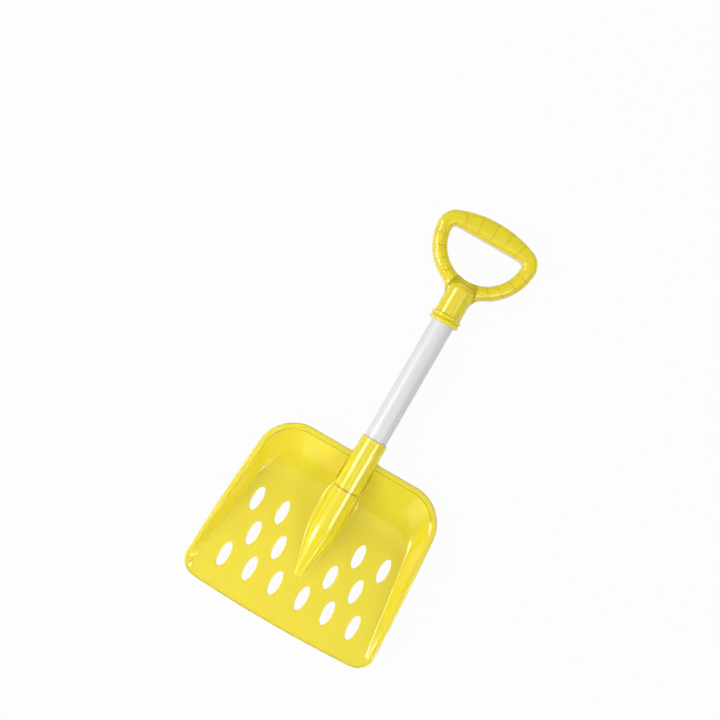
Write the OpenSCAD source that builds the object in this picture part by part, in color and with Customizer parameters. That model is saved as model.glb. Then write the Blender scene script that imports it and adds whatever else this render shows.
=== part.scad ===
// Toy scoop shovel with a square blade, a plastic pipe shaft and a D-shaped grip.
// The shovel lies on its back: +Z is up, +Y runs from the blade to the grip, the floor is at z = 0.
// The heel of the blade and the collar of the grip both rest on the floor, so the shaft lies level.

/* [Overall] */
// Length from the front edge of the blade to the top of the grip
overall_length = 470; // [440:1:520]

/* [Blade] */
// Length from the rear rim to the middle of the front edge
blade_length = 192; // [175:1:210]
// Width between the side edges, carried straight on to the rear rim
blade_rear_width = 200; // [180:1:215]
// Width between the side edges, carried straight on to the front edge
blade_front_width = 220.5; // [205:0.5:240]
// How far each side edge bows out beside a straight line
side_bow = 1.8; // [0:0.1:4]
// How far the front edge stands ahead of its own ends
front_bow = 4; // [0:0.5:10]
// Radius of the rear corners of the outline
rear_corner_r = 38; // [30:1:44]
// Radius of the front corners of the outline
front_corner_r = 19; // [10:1:24]
// Thickness of the moulded sheet
blade_wall = 2.2; // [1.6:0.1:2.8]
// Width of the flat flange along the rear and side edges
flange_width = 6.2; // [4.5:0.1:8]
// Width of the flange where it dies out at the front corners
flange_front_width = 4.7; // [3:0.1:7]
// Width of the side walls, seen from above, at the rear rim
side_wall_rear_width = 14; // [11:0.5:18]
// Width of the side walls, seen from above, at the front edge
side_wall_front_width = 4.5; // [3:0.5:7]
// Width of the rear wall, seen from above
rear_wall_width = 40; // [34:1:44]
// Angle between the floor of the scoop and the plane of the rim
floor_angle = 9; // [7:0.5:11]
// Angle between the plane of the rim and the shaft
rim_angle = 5; // [2:0.5:8]

/* [Drain slots] */
// Length of a slot
slot_length = 26; // [20:0.2:29]
// Width of a slot
slot_width = 10.2; // [7:0.1:14]
// Distance between slots in a row
slot_pitch = 30; // [26:0.5:31]
// Distance between rows
slot_row_pitch = 31.5; // [30:0.5:34]
// Distance from the front edge to the middle of the first row
slot_front_margin = 35.8; // [30:0.2:40]
// Extra room at the middle of each row
slot_centre_gap = 1.5; // [0:0.1:3]

/* [Blade socket] */
// Outside diameter of the sleeve
sleeve_od = 28.8; // [28.4:0.1:31]
// Length of the sleeve behind the rear rim
sleeve_reach = 20.8; // [16:0.2:30]
// Length of the sleeve inside the blade
sleeve_inside = 40; // [36:1:46]
// Thickness of the wall that closes the sleeve's inner end
sleeve_end_wall = 1.2; // [1:0.1:2]
// How much lower the nose stands than the sleeve
nose_step = 0.9; // [0.5:0.1:1.4]
// Length of the half-round nose ahead of the sleeve
nose_length = 50; // [42:1:56]
// Length of the fairing that runs out into the floor
fairing_length = 50; // [42:1:54]
// Length over which the nose bends down into the fairing
fairing_ease = 24; // [12:1:32]
// Width of the fairing at its tip
fairing_tip_width = 8; // [6:0.5:12]
// Lean of the sides of the nose from upright
nose_draft = 9; // [6:1:14]
// Radius of the fillet from the sides of the nose to the floor
nose_fillet = 5; // [3:0.5:6]
// Radius of the fillet along the foot of the sleeve, behind the nose
sleeve_fillet = 1.5; // [0.5:0.1:4]
// Length over which the one fillet grows into the other
fillet_growth = 6; // [4:0.5:12]

/* [Shaft] */
// Outside diameter of the pipe
shaft_od = 24.5; // [23:0.1:24.9]
// Wall of the pipe
shaft_wall = 1.6; // [1.2:0.1:2.5]
// Gap all round between the pipe and its sockets
socket_clearance = 0.05; // [0.02:0.01:0.2]
// Gap between the ends of the pipe and their stops
end_clearance = 0.2; // [0.1:0.05:0.5]

/* [Grip] */
// Length from the mouth of the collar to the top of the grip
grip_length = 118.2; // [112:0.2:128]
// Radius of the round outside of the loop
loop_outer_r = 57.2; // [55:0.2:60]
// Radius of the round part of the hand opening
opening_r = 41.1; // [39:0.1:43]
// Distance from the top of the grip down to the flat of the hand opening
bar_depth = 22.9; // [20:0.1:26]
// Height of the hand opening
opening_height = 44.6; // [42:0.1:47]
// Radius of the crown of the bar
bar_crown_r = 120; // [105:1:140]
// Radius of the outer corners of the loop
loop_corner_r = 20; // [17:0.5:23]
// Radius of the corners of the hand opening
opening_corner_r = 4.5; // [3:0.5:7]
// Thickness of the loop from front to back
loop_thickness = 16; // [13:0.5:19]
// Thickness of the skin of the loop
loop_skin = 2.4; // [1.8:0.1:3]
// Squareness of the loop's section: 2 is an ellipse
loop_squareness = 2.6; // [2:0.1:4]
// Radius of the fillets from the loop down to the sleeve
shoulder_r = 18; // [14:1:22]
// Thickness of the stiffening ribs inside the loop
rib_thickness = 1.4; // [1:0.1:2]
// Distance between ribs along the bar
rib_pitch = 15; // [12:0.5:18]
// Distance between ribs along the middle of an arm
arm_rib_pitch = 13.2; // [11:0.2:16]
// Distance along an arm from the outer corner to its first rib
arm_rib_start = 9.5; // [6:0.5:20]
// How far the ribs stop short of the open back of the loop
rib_inset = 1; // [0.5:0.1:3]
// Outside diameter of the sleeve of the grip
grip_sleeve_od = 29.2; // [28.6:0.1:31]
// Outside diameter of the two beads of the collar
collar_od = 33.2; // [32:0.1:36]
// Distance between the two beads
bead_pitch = 5; // [4.4:0.1:6]
// Radius of the section of a bead
bead_r = 2.3; // [2:0.1:2.6]
// Distance from the hand opening down to the closed end of the sleeve
sleeve_margin = 6; // [2:0.5:9]
// Radius of the edge round the closed end of the sleeve
sleeve_end_r = 7; // [2:0.5:7]
// Thickness of the wall that closes the sleeve
grip_end_wall = 4; // [3:0.5:6]
// Distance from the flat of the hand opening down to the middle of the round outside
loop_centre_drop = 2.4; // [1:0.1:4]

/* [Screws] */
// Diameter of the screw's core
screw_d = 2.6; // [2.2:0.1:3.2]
// Length of the screw under its head
screw_length = 8; // [6:0.5:11]
// Diameter of the screw's head
screw_head_d = 5.6; // [5:0.1:7]
// Height of the screw's head
screw_head_h = 1.5; // [1.2:0.1:1.6]
// Gap all round between a screw and its holes
screw_clearance = 0.05; // [0.02:0.01:0.2]
// Width of the cross recess in the head
recess_width = 0.7; // [0.5:0.1:0.9]
// Span of the cross recess in the head
recess_span = 3.2; // [2.6:0.1:3.8]
// Depth of the cross recess in the head
recess_depth = 0.9; // [0.6:0.1:1.1]
// Distance from the mouth of the blade's sleeve to its screw
blade_screw_margin = 10; // [7:0.5:14]
// Distance from the mouth of the grip's collar to its screw
grip_screw_margin = 21; // [16:0.5:26]
// Depth of the flat that seats a screw's head
head_seat = 0.35; // [0.3:0.05:0.6]

/* [Hidden] */
$fn = 64;
// How far a cut runs past the face that it opens
overshoot = 1;

yellow = [0.93, 0.84, 0.16];
white = [0.95, 0.95, 0.96];
zinc = [0.75, 0.76, 0.78];

// Places along the shovel, and the height of the shaft's axis
front_y = -overall_length / 2;
rim_y = front_y + blade_length;
sleeve_mouth_y = rim_y + sleeve_reach;
sleeve_end_y = rim_y - sleeve_inside;
stop_y = sleeve_end_y + sleeve_end_wall;
top_y = overall_length / 2;
collar_mouth_y = top_y - grip_length;
axis_z = collar_od / 2;
bore_r = shaft_od / 2 + socket_clearance;

// Blends and curves
function mix(a, b, s) = a + (b - a) * s;
function clamp(s) = max(0, min(1, s));
function ease(s) = let (c = clamp(s)) c * c * (3 - 2 * c);
function unit(v) = v / norm(v);
function polar(centre, r, angle) = centre + r * [cos(angle), sin(angle)];

// Outline of the blade: v runs forwards from the rear rim and e runs inwards from a side edge
function half_width(v) =
    let (s = v / blade_length)
    mix(blade_rear_width, blade_front_width, s) / 2 + 4 * side_bow * s * (1 - s);
function flange_at(v) = mix(flange_width, flange_front_width, ease(v / blade_length));
function side_wall_at(v) = mix(side_wall_rear_width, side_wall_front_width, v / blade_length);

// Height of the rim and depth of the floor below the plane of the rim
function rim_rise(v) = v * tan(rim_angle);
function floor_depth(v) = max(0, blade_length - v) * tan(floor_angle);

// Steps of the lofted wall: 0 is the fold under the flange, 1 is where the wall meets the floor
wall_steps = [0, 0.2, 0.45, 0.7, 0.86, 1, 1.14, 1.3, 1.48];
wall_reach = 1.66;
rings = len(wall_steps) + 1;
side_bend = 0.16;
rear_bend = 0.5;

// Depth of the wall as a share of the floor's depth, rounded by the bend where they meet
function wall_share(step, bend) =
    step <= 1 - bend ? step : step >= 1 + bend ? 1 : 1 - pow(1 + bend - step, 2) / (4 * bend);
function ring_step(k) = k == 0 ? 0 : k == rings ? wall_reach : wall_steps[k - 1];
function ring_side(k, v) = k == 0 ? 0 : flange_at(v) + ring_step(k) * side_wall_at(v);
function ring_rear(k) = k == 0 ? 0 : flange_width + ring_step(k) * rear_wall_width;
function ring_corner_r(k) =
    k == 0 ? rear_corner_r
           : (rear_corner_r - flange_width) * sqrt(max(0, 1 - pow(ring_step(k) / wall_reach, 2)));

// Rows of the loft: the rings of the rear wall, the fairing, then the front edge with its corners
nose_end_v = sleeve_inside + nose_length;
fairing_end_v = nose_end_v + fairing_length;
floor_v = ring_rear(rings);
corner_v = blade_length - front_corner_r;
fairing_rows = 9;
front_rows = 5;
row_v = concat(
    [for (k = [0:rings - 1]) ring_rear(k)],
    [for (i = [0:fairing_rows]) mix(floor_v, fairing_end_v, i / fairing_rows)],
    [(fairing_end_v + corner_v) / 2],
    [for (i = [0:front_rows]) corner_v + front_corner_r * sin(90 * i / front_rows)]
);
rows = len(row_v) - 1;

// Height of the pan along its middle; its rear rim stands so high that its heel just reaches the floor
function row_share(r) = r == 0 ? 0 : r < rings ? wall_share(ring_step(r), rear_bend) : 1;
function pan_drop(r) = row_share(r) * floor_depth(row_v[r]) - rim_rise(row_v[r]);
function heel_drop(r) =
    let (run = row_v[r + 1] - row_v[r - 1], fall = pan_drop(r + 1) - pan_drop(r - 1))
    pan_drop(r) + blade_wall * run / norm([run, fall]);
rim_z = max([for (r = [1:rings]) heel_drop(r)]);
function pan_z(r) = rim_z - pan_drop(r);

// Section of the nose at a height above the pan: a half-round crown, leaning flanks and a fillet
nose_r = sleeve_od / 2 - nose_step;
crown_drop = nose_r * (1 - sin(nose_draft));
crown_steps = 6;
fillet_steps = 5;
ridge_columns = crown_steps + fillet_steps + 1;
least_foot = 0.3;
function nose_section(j, height, fillet_r) =
    let (
        foot = max(height - crown_drop, least_foot),
        fillet = min(fillet_r, foot),
        flank = foot - fillet * (1 - sin(nose_draft)),
        reach = nose_r * cos(nose_draft) + flank * tan(nose_draft) + fillet * cos(nose_draft),
        crown_angle = (90 - nose_draft) * j / crown_steps,
        fillet_angle = mix(nose_draft, 90, (j - crown_steps - 1) / fillet_steps)
    )
    j <= crown_steps ? [nose_r * sin(crown_angle), foot + nose_r * (cos(crown_angle) - sin(nose_draft))]
                     : [reach - fillet * cos(fillet_angle), fillet * (1 - sin(fillet_angle))];

// The fillet is small along the sleeve and grows to its full size just past the end of the sleeve
function fillet_at(v) = mix(sleeve_fillet, nose_fillet, ease((v - sleeve_inside) / fillet_growth));

// The fairing keeps the section at its start, drawn in and flattened as it eases down to the floor
fairing_v = nose_end_v - fairing_ease / 2;
function fairing_share(v) =
    let (u = v - fairing_v, fall = u < fairing_ease ? u * u / (2 * fairing_ease) : u - fairing_ease / 2)
    u <= 0 ? 0 : min(1, fall / fairing_length);
function floor_z(v) = rim_z + rim_rise(v) - floor_depth(v);
crest_z = axis_z + nose_r;
fairing_height = crest_z - floor_z(fairing_v);
fairing_reach = nose_section(ridge_columns, fairing_height, nose_fillet)[0];
// Point of the ridge on row r as [x, height above the pan]; column 0 is the middle
function ridge_point(j, r) =
    let (
        share = fairing_share(row_v[r]),
        height = mix(crest_z, floor_z(fairing_end_v), share) - pan_z(r),
        section = nose_section(j, share > 0 ? fairing_height : height, fillet_at(row_v[r])),
        narrow = mix(1, fairing_tip_width / 2 / fairing_reach, share),
        flat = max(0, height) / fairing_height
    )
    share > 0 ? [section[0] * narrow, section[1] * flat] : section;

// Columns of the loft: the rings of the side wall, the open floor, then the ridge up to the middle
floor_columns = 5;
ridge_start = rings + floor_columns;
columns = ridge_start + ridge_columns;

// Plan position [x, v] of a grid point on one half of the blade; column 0 is the side edge
function column_x(c, r, start) =
    c > ridge_start ? ridge_point(columns - c, r)[0]
                    : mix(start, ridge_point(ridge_columns, r)[0], (c - rings) / floor_columns);
function corner_point(k, angle) =
    let (r = ring_corner_r(k), v = ring_rear(k) + r * (1 - sin(angle)))
    [half_width(v) - ring_side(k, v) - r * (1 - cos(angle)), v];
function side_v(k, r) =
    let (lead = ring_rear(k) + ring_corner_r(k) - floor_v)
    row_v[r] + lead * (1 - ease((row_v[r] - floor_v) / (nose_end_v - floor_v)));
function loft_plan(c, r) =
    let (k = min(c, r), v = row_v[r])
    k >= rings ? [column_x(c, r, half_width(v) - ring_side(rings, v)), v]
    : c <= r && r <= rings ? corner_point(k, 45 * (rings - r) / (rings - k))
    : c <= r ? [half_width(side_v(k, r)) - ring_side(k, side_v(k, r)), side_v(k, r)]
    : c <= rings ? corner_point(k, 90 - 45 * (rings - c) / (rings - k))
    : [column_x(c, r, corner_point(k, 90)[0]), v];

// Rounds the front corners: a square corner of side r is wrapped onto a quarter disc of radius r
function round_front(x, v) =
    let (r = front_corner_r, w = half_width(v), p = 1 - (w - x) / r, q = 1 - (blade_length - v) / r)
    p <= 0 || q <= 0 ? [x, v]
    : let (turn = p >= q ? 45 * q / p : 90 - 45 * p / q, m = max(p, q))
      [w - r + r * m * cos(turn), blade_length - r + r * m * sin(turn)];

// Share of the bend's width that a grid point has: narrow along the sides, wide along the rear
function bend_at(c, r) =
    let (k = min(c, r))
    k >= rings ? side_bend
    : c <= r && r <= rings ? mix(side_bend, rear_bend, ease(0.5 * (rings - r) / (rings - k)))
    : c <= r ? side_bend
    : c <= rings ? mix(side_bend, rear_bend, ease(1 - 0.5 * (rings - c) / (rings - k)))
    : rear_bend;

// Upper face of the blade at column c and row r of one half
function loft_point(c, r, side) =
    let (
        plan = loft_plan(c, r),
        rounded = round_front(plan[0], plan[1]),
        x = rounded[0],
        v = rounded[1],
        k = min(c, r),
        share = k == 0 ? 0 : k < rings ? wall_share(ring_step(k), bend_at(c, r)) : 1,
        ridge = c > ridge_start ? ridge_point(columns - c, r)[1] : 0,
        bow = front_bow * pow(x / half_width(v), 2) * pow(v / blade_length, 3)
    )
    [side * x, rim_y - v + bow, rim_z + rim_rise(v) - share * floor_depth(v) + ridge];

upper_face = [
    for (r = [0:rows]) [
        for (i = [0:2 * columns]) loft_point(min(i, 2 * columns - i), r, i <= columns ? -1 : 1)
    ]
];

// Lower face: each point of the upper face moved in by the wall along the surface's normal
function face_normal(r, i) =
    let (
        across = upper_face[r][min(i + 1, 2 * columns)] - upper_face[r][max(i - 1, 0)],
        along = upper_face[max(r - 1, 0)][i] - upper_face[min(r + 1, rows)][i]
    )
    unit(cross(across, along));
// The front edge is cut upright, so there the wall is measured straight down
function wall_step(n, r) = r == rows ? [0, 0, blade_wall / n[2]] : blade_wall * n;
lower_face = [
    for (r = [0:rows]) [
        for (i = [0:2 * columns]) upper_face[r][i] - wall_step(face_normal(r, i), r)
    ]
];

// Two grids of points closed into one sheet of triangles
module sheet(top, bottom) {
    wide = len(top[0]);
    long = len(top);
    half = (wide - 1) / 2;
    function at(r, i) = r * wide + i;
    function under(r, i) = long * wide + at(r, i);
    function quad(a, b, c, d, flip) = flip ? [[a, b, d], [b, c, d]] : [[a, b, c], [a, c, d]];
    top_faces = [
        for (r = [0:long - 2]) for (i = [0:wide - 2])
            each quad(at(r, i), at(r, i + 1), at(r + 1, i + 1), at(r + 1, i), i >= half)
    ];
    bottom_faces = [
        for (r = [0:long - 2]) for (i = [0:wide - 2])
            each quad(under(r, i + 1), under(r, i), under(r + 1, i), under(r + 1, i + 1), i < half)
    ];
    ends = [
        for (i = [0:wide - 2]) each concat(
            quad(at(0, i + 1), at(0, i), under(0, i), under(0, i + 1), false),
            quad(at(long - 1, i), at(long - 1, i + 1), under(long - 1, i + 1), under(long - 1, i), false)
        )
    ];
    edges = [
        for (r = [0:long - 2]) each concat(
            quad(at(r, 0), at(r + 1, 0), under(r + 1, 0), under(r, 0), false),
            quad(at(r + 1, wide - 1), at(r, wide - 1), under(r, wide - 1), under(r + 1, wide - 1), false)
        )
    ];
    polyhedron(
        points = [each [for (line = top) each line], each [for (line = bottom) each line]],
        faces = concat(top_faces, bottom_faces, ends, edges)
    );
}

// A cylinder along the shaft's axis between two places
module along_shaft(r, from_y, to_y) {
    translate([0, from_y, axis_z]) rotate([-90, 0, 0]) cylinder(r = r, h = to_y - from_y);
}

// Slots in staggered rows, which leave room for the nose: each row lists its places in pitches
slot_rows = [[0.5, 1.5, 2.5], [1, 2], [1.5, 2.5]];
module drain_slots() {
    for (row = [0:len(slot_rows) - 1], place = slot_rows[row], side = [-1, 1])
        translate([
            side * (place * slot_pitch + slot_centre_gap / 2),
            front_y + slot_front_margin + row * slot_row_pitch,
            -overshoot
        ])
            linear_extrude(rim_z + rim_rise(blade_length)) scale([slot_width / 2, slot_length / 2]) circle(r = 1);
}

// Screws stand under the sleeves: a flat is cut for the head, and a hole runs up into the pipe
blade_screw_y = sleeve_mouth_y - blade_screw_margin;
grip_screw_y = collar_mouth_y + grip_screw_margin;
function seat_z(sleeve_r) = axis_z - sleeve_r + head_seat;
module screw_hole(y, sleeve_r) {
    translate([0, y, seat_z(sleeve_r) - sleeve_r]) {
        cylinder(d = screw_head_d + 2 * head_seat, h = sleeve_r);
        cylinder(d = screw_d + 2 * screw_clearance, h = 2 * sleeve_r);
    }
}
module screw(y, sleeve_r) {
    color(zinc) translate([0, y, seat_z(sleeve_r)]) difference() {
        union() {
            translate([0, 0, -screw_head_h]) cylinder(d = screw_head_d, h = screw_head_h);
            cylinder(d = screw_d, h = screw_length);
        }
        for (turn = [0, 90])
            rotate(turn) translate([-recess_span / 2, -recess_width / 2, -screw_head_h - overshoot])
                cube([recess_span, recess_width, recess_depth + overshoot]);
    }
}

module scoop() {
    color(yellow) difference() {
        union() {
            sheet(upper_face, lower_face);
            along_shaft(sleeve_od / 2, sleeve_end_y, sleeve_mouth_y);
        }
        along_shaft(bore_r, stop_y, sleeve_mouth_y + overshoot);
        drain_slots();
        screw_hole(blade_screw_y, sleeve_od / 2);
    }
}

// The pipe runs from the stop in the blade to the stop in the grip
closed_end_y = top_y - bar_depth - opening_height - sleeve_margin;
grip_stop_y = closed_end_y - grip_end_wall;
shaft_from_y = stop_y + end_clearance;
shaft_to_y = grip_stop_y - end_clearance;
module shaft_tube() {
    color(white) difference() {
        along_shaft(shaft_od / 2, shaft_from_y, shaft_to_y);
        along_shaft(shaft_od / 2 - shaft_wall, shaft_from_y - overshoot, shaft_to_y + overshoot);
        for (y = [blade_screw_y, grip_screw_y])
            translate([0, y, 0]) cylinder(d = screw_d + 2 * screw_clearance, h = axis_z);
    }
}

// The loop in plan: x to the right and t down from the top of the grip, as circles tangent to each other
outer_centre = [0, bar_depth + loop_centre_drop];
opening_centre = [0, bar_depth + opening_height - opening_r];
crown_centre = [0, bar_crown_r];
// Centre of a corner circle that touches a big circle and a second circle or line from inside
outer_corner =
    let (
        near = loop_outer_r - loop_corner_r,
        far = bar_crown_r - loop_corner_r,
        gap = crown_centre[1] - outer_centre[1],
        t = (near * near - far * far + gap * gap) / (2 * gap)
    )
    [sqrt(near * near - t * t), outer_centre[1] + t];
opening_corner =
    let (t = bar_depth + opening_corner_r - opening_centre[1], reach = opening_r - opening_corner_r)
    [sqrt(reach * reach - t * t), bar_depth + opening_corner_r];
// Centre of the fillet between the round outside of the loop and the straight sleeve
shoulder_centre =
    let (x = grip_sleeve_od / 2 + shoulder_r, reach = loop_outer_r + shoulder_r)
    [x, outer_centre[1] + sqrt(reach * reach - x * x)];
function bearing(from, to) = atan2(to[1] - from[1], to[0] - from[0]);
crown_end = bearing(crown_centre, outer_corner);
outer_end = bearing(outer_centre, outer_corner);
opening_end = bearing(opening_centre, opening_corner);
shoulder_end = bearing(outer_centre, shoulder_centre);
// The hand opening's share of each part of the loop, so that the sections lie square across it
shoulder_lead = 2;
root_spread = 12;
opening_at_shoulder = shoulder_end + shoulder_lead;
opening_at_sleeve = 90 - root_spread;

// Inner and outer edge of the loop, part by part, for s from 0 to 1 along each part
function bar_edges(s) =
    [[opening_corner[0] * s, bar_depth], polar(crown_centre, bar_crown_r, mix(-90, crown_end, s))];
function corner_edges(s) = [
    polar(opening_corner, opening_corner_r, mix(-90, opening_end, s)),
    polar(outer_corner, loop_corner_r, mix(crown_end, outer_end, s))
];
function arm_edges(s) = [
    polar(opening_centre, opening_r, mix(opening_end, opening_at_shoulder, s)),
    polar(outer_centre, loop_outer_r, mix(outer_end, shoulder_end, s))
];
function shoulder_edges(s) = [
    polar(opening_centre, opening_r, mix(opening_at_shoulder, opening_at_sleeve, s)),
    polar(shoulder_centre, shoulder_r, mix(shoulder_end - 180, -180, s))
];
function root_edges(s) = [
    polar(opening_centre, opening_r, mix(opening_at_sleeve, 90, s)),
    [mix(grip_sleeve_od / 2, 0, s), shoulder_centre[1]]
];
bend_stations = 6;
arm_stations = 10;
root_stations = 2;
half_loop = concat(
    [for (i = [0:bend_stations - 1]) bar_edges(i / bend_stations)],
    [for (i = [0:bend_stations - 1]) corner_edges(i / bend_stations)],
    [for (i = [0:arm_stations - 1]) arm_edges(i / arm_stations)],
    [for (i = [0:bend_stations - 1]) shoulder_edges(i / bend_stations)],
    [for (i = [0:root_stations]) root_edges(i / root_stations)]
);
function flip(edges) = [for (p = edges) [-p[0], p[1]]];
stations = concat(half_loop, [for (i = [len(half_loop) - 2:-1:1]) flip(half_loop[i])]);

// Section of the loop: a crowned front on straight sides, as points [across, up] about the middle
section_steps = 8;
function crowned(half, rise) = concat(
    [[-half, -loop_thickness / 2]],
    [for (i = [0:section_steps])
        let (a = 180 - 180 * i / section_steps, power = 2 / loop_squareness)
        [half * sign(cos(a)) * pow(abs(cos(a)), power), rise * pow(abs(sin(a)), power)]],
    [[half, -loop_thickness / 2]]
);
function reversed(list) = [for (i = [len(list) - 1:-1:0]) list[i]];
function half_span(edges) = norm(edges[1] - edges[0]) / 2;
function channel_section(edges) = concat(
    crowned(half_span(edges), loop_thickness / 2),
    reversed(crowned(half_span(edges) - loop_skin, loop_thickness / 2 - loop_skin))
);
function placed(edges, point) =
    let (middle = (edges[0] + edges[1]) / 2, outwards = unit(edges[1] - edges[0]))
    [
        middle[0] + outwards[0] * point[0],
        top_y - middle[1] - outwards[1] * point[0],
        axis_z + point[1]
    ];

// A ring of sections closed into one hoop
module hoop(sections) {
    around = len(sections);
    points = len(sections[0]);
    function at(s, p) = (s % around) * points + p % points;
    polyhedron(
        points = [for (s = sections) each s],
        faces = [
            for (s = [0:around - 1]) for (p = [0:points - 1]) each [
                [at(s, p), at(s, p + 1), at(s + 1, p + 1)],
                [at(s, p), at(s + 1, p + 1), at(s + 1, p)]
            ]
        ]
    );
}

// Stiffening ribs across the open back of the loop
bar_ribs = floor(opening_corner[0] / rib_pitch);
arm_length = (loop_outer_r + opening_r) / 2 * (shoulder_end - outer_end) * PI / 180;
arm_ribs = floor((arm_length - arm_rib_start) / arm_rib_pitch);
rib_edges = concat(
    [for (i = [0:bar_ribs]) bar_edges(i * rib_pitch / opening_corner[0])],
    [corner_edges(0.5)],
    [for (i = [0:arm_ribs]) arm_edges((arm_rib_start + i * arm_rib_pitch) / arm_length)]
);
module rib(edges) {
    outwards = unit(edges[1] - edges[0]);
    middle = placed(edges, [0, 0]);
    bite = loop_skin / 3;
    profile = [
        for (p = crowned(half_span(edges) - loop_skin + bite, loop_thickness / 2 - loop_skin + bite))
            [p[0], max(p[1], rib_inset - loop_thickness / 2)]
    ];
    translate(middle) rotate([90, 0, atan2(-outwards[1], outwards[0])])
        linear_extrude(rib_thickness, center = true) polygon(profile);
}

// The sleeve of the grip: a tube with a closed, rounded end and two beads at its mouth
module sleeve_profile() {
    r = grip_sleeve_od / 2;
    length = closed_end_y - collar_mouth_y;
    square([r, length - sleeve_end_r]);
    square([r - sleeve_end_r, length]);
    translate([r - sleeve_end_r, length - sleeve_end_r]) circle(sleeve_end_r);
    for (i = [0, 1])
        translate([collar_od / 2 - bead_r, bead_r + i * bead_pitch]) circle(bead_r);
    square([collar_od / 2 - bead_r, bead_pitch + 2 * bead_r]);
}
module d_grip() {
    color(yellow) difference() {
        union() {
            hoop([for (edges = stations) [for (p = channel_section(edges)) placed(edges, p)]]);
            for (i = [0:len(rib_edges) - 1]) {
                rib(rib_edges[i]);
                if (i > 0) rib(flip(rib_edges[i]));
            }
            translate([0, collar_mouth_y, axis_z]) rotate([-90, 0, 0])
                rotate_extrude() sleeve_profile();
        }
        along_shaft(bore_r, collar_mouth_y - overshoot, grip_stop_y);
        screw_hole(grip_screw_y, grip_sleeve_od / 2);
    }
}

module blade_screw() { screw(blade_screw_y, sleeve_od / 2); }
module grip_screw() { screw(grip_screw_y, grip_sleeve_od / 2); }

scoop();
shaft_tube();
d_grip();
blade_screw();
grip_screw();
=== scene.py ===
"""Looks of a child's scoop shovel: a moulded pan, a plastic pipe and a D-shaped grip.

The shovel lies on its back. X runs to the right, Y from the blade to the grip, and Z up from the
floor. Sizes are in millimetres, as in the part's own drawing, and turn into metres where a mesh is
written.
"""
import logging
import math
from dataclasses import dataclass, field
from enum import Enum

import bpy
import numpy as np
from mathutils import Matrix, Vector


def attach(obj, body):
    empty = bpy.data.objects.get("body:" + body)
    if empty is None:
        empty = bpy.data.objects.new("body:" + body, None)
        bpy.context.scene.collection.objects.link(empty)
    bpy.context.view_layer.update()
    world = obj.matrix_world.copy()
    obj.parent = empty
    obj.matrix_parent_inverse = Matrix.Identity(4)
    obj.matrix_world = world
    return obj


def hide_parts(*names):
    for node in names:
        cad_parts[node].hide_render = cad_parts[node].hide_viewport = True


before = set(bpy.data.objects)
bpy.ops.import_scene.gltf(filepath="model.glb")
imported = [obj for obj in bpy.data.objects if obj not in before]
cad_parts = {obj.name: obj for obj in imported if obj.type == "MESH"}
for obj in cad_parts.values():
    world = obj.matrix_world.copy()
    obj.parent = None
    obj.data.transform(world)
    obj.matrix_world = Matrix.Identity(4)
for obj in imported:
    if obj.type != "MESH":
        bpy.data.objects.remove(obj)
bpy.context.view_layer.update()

LOG = logging.getLogger("scoop_shovel")
BODY = "root"
MM = 0.001
SHARP_ANGLE = math.radians(34)
ROUND_STEPS = 160
BORE_STEPS = 128
SCREW_STEPS = 64
CLOSE = 1e-6
TINY = 1e-9
FLIP = np.array([-1.0, 1.0])

Colour = tuple[float, float, float]
Place = tuple[float, float, float]
Socket = bpy.types.NodeSocket
Inputs = dict[str | int, object]


class Slot(Enum):
    """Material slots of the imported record."""

    YELLOW = "yellow_plastic"
    PIPE = "white_pipe"
    ZINC = "zinc_steel"


class Cut(Enum):
    """What one solid does to another."""

    JOIN = "UNION"
    REMOVE = "DIFFERENCE"


class Mark(Enum):
    """Values that a mesh carries at its points for its material."""

    EDGE = "free_edge"
    # Painted shade: a darker colour laid where shade falls, in grooves, in the grip's pocket and on the
    # pan's rounded free edge; over the grip's ribs it also stands for the rib showing through.
    LINE = "moulded_line"


def mix(a: np.ndarray, b: np.ndarray, s: np.ndarray) -> np.ndarray:
    """A straight blend from a to b as s goes from 0 to 1."""
    return a + (b - a) * s


def ease(s: np.ndarray) -> np.ndarray:
    """A blend from 0 to 1 that starts and ends level: 3 s squared less 2 s cubed."""
    c = np.clip(s, 0, 1)
    return c * c * (3 - 2 * c)


def bump(distance: np.ndarray, reach: float) -> np.ndarray:
    """A soft hump: 1 at distance 0, level there, and 0 from reach on."""
    return (1 - np.clip(np.abs(distance) / reach, 0, 1) ** 2) ** 2


def polar(centre: np.ndarray | list[float], radius: float, degrees: np.ndarray) -> np.ndarray:
    """Points on a circle in plan.

    Args:
        centre: middle of the circle as [x, t].
        radius: radius of the circle.
        degrees: bearings, in an array of any length.

    Returns:
        One [x, t] row for each bearing.
    """
    turn = np.radians(degrees)
    return np.asarray(centre) + radius * np.stack([np.cos(turn), np.sin(turn)], -1)


def arc(centre: list[float], radius: float, start: float, end: float, steps: int) -> np.ndarray:
    """Points on an arc in plan or in a profile, in even steps from one bearing to another."""
    return polar(centre, radius, np.linspace(start, end, steps))


def grid_quads(rows: int, columns: int, wrap_rows: bool, wrap_columns: bool) -> np.ndarray:
    """Index quads of a grid of points that is stored row by row.

    Args:
        rows: number of rows of points.
        columns: number of points in a row.
        wrap_rows: whether the last row joins the first.
        wrap_columns: whether the last column joins the first.

    Returns:
        An array of four point numbers to a face.
    """
    r, c = np.meshgrid(
        np.arange(rows if wrap_rows else rows - 1),
        np.arange(columns if wrap_columns else columns - 1),
        indexing="ij",
    )
    below, beside = (r + 1) % rows, (c + 1) % columns
    corners = [r * columns + c, below * columns + c, below * columns + beside, r * columns + beside]
    return np.stack(corners, -1).reshape(-1, 4)


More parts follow.
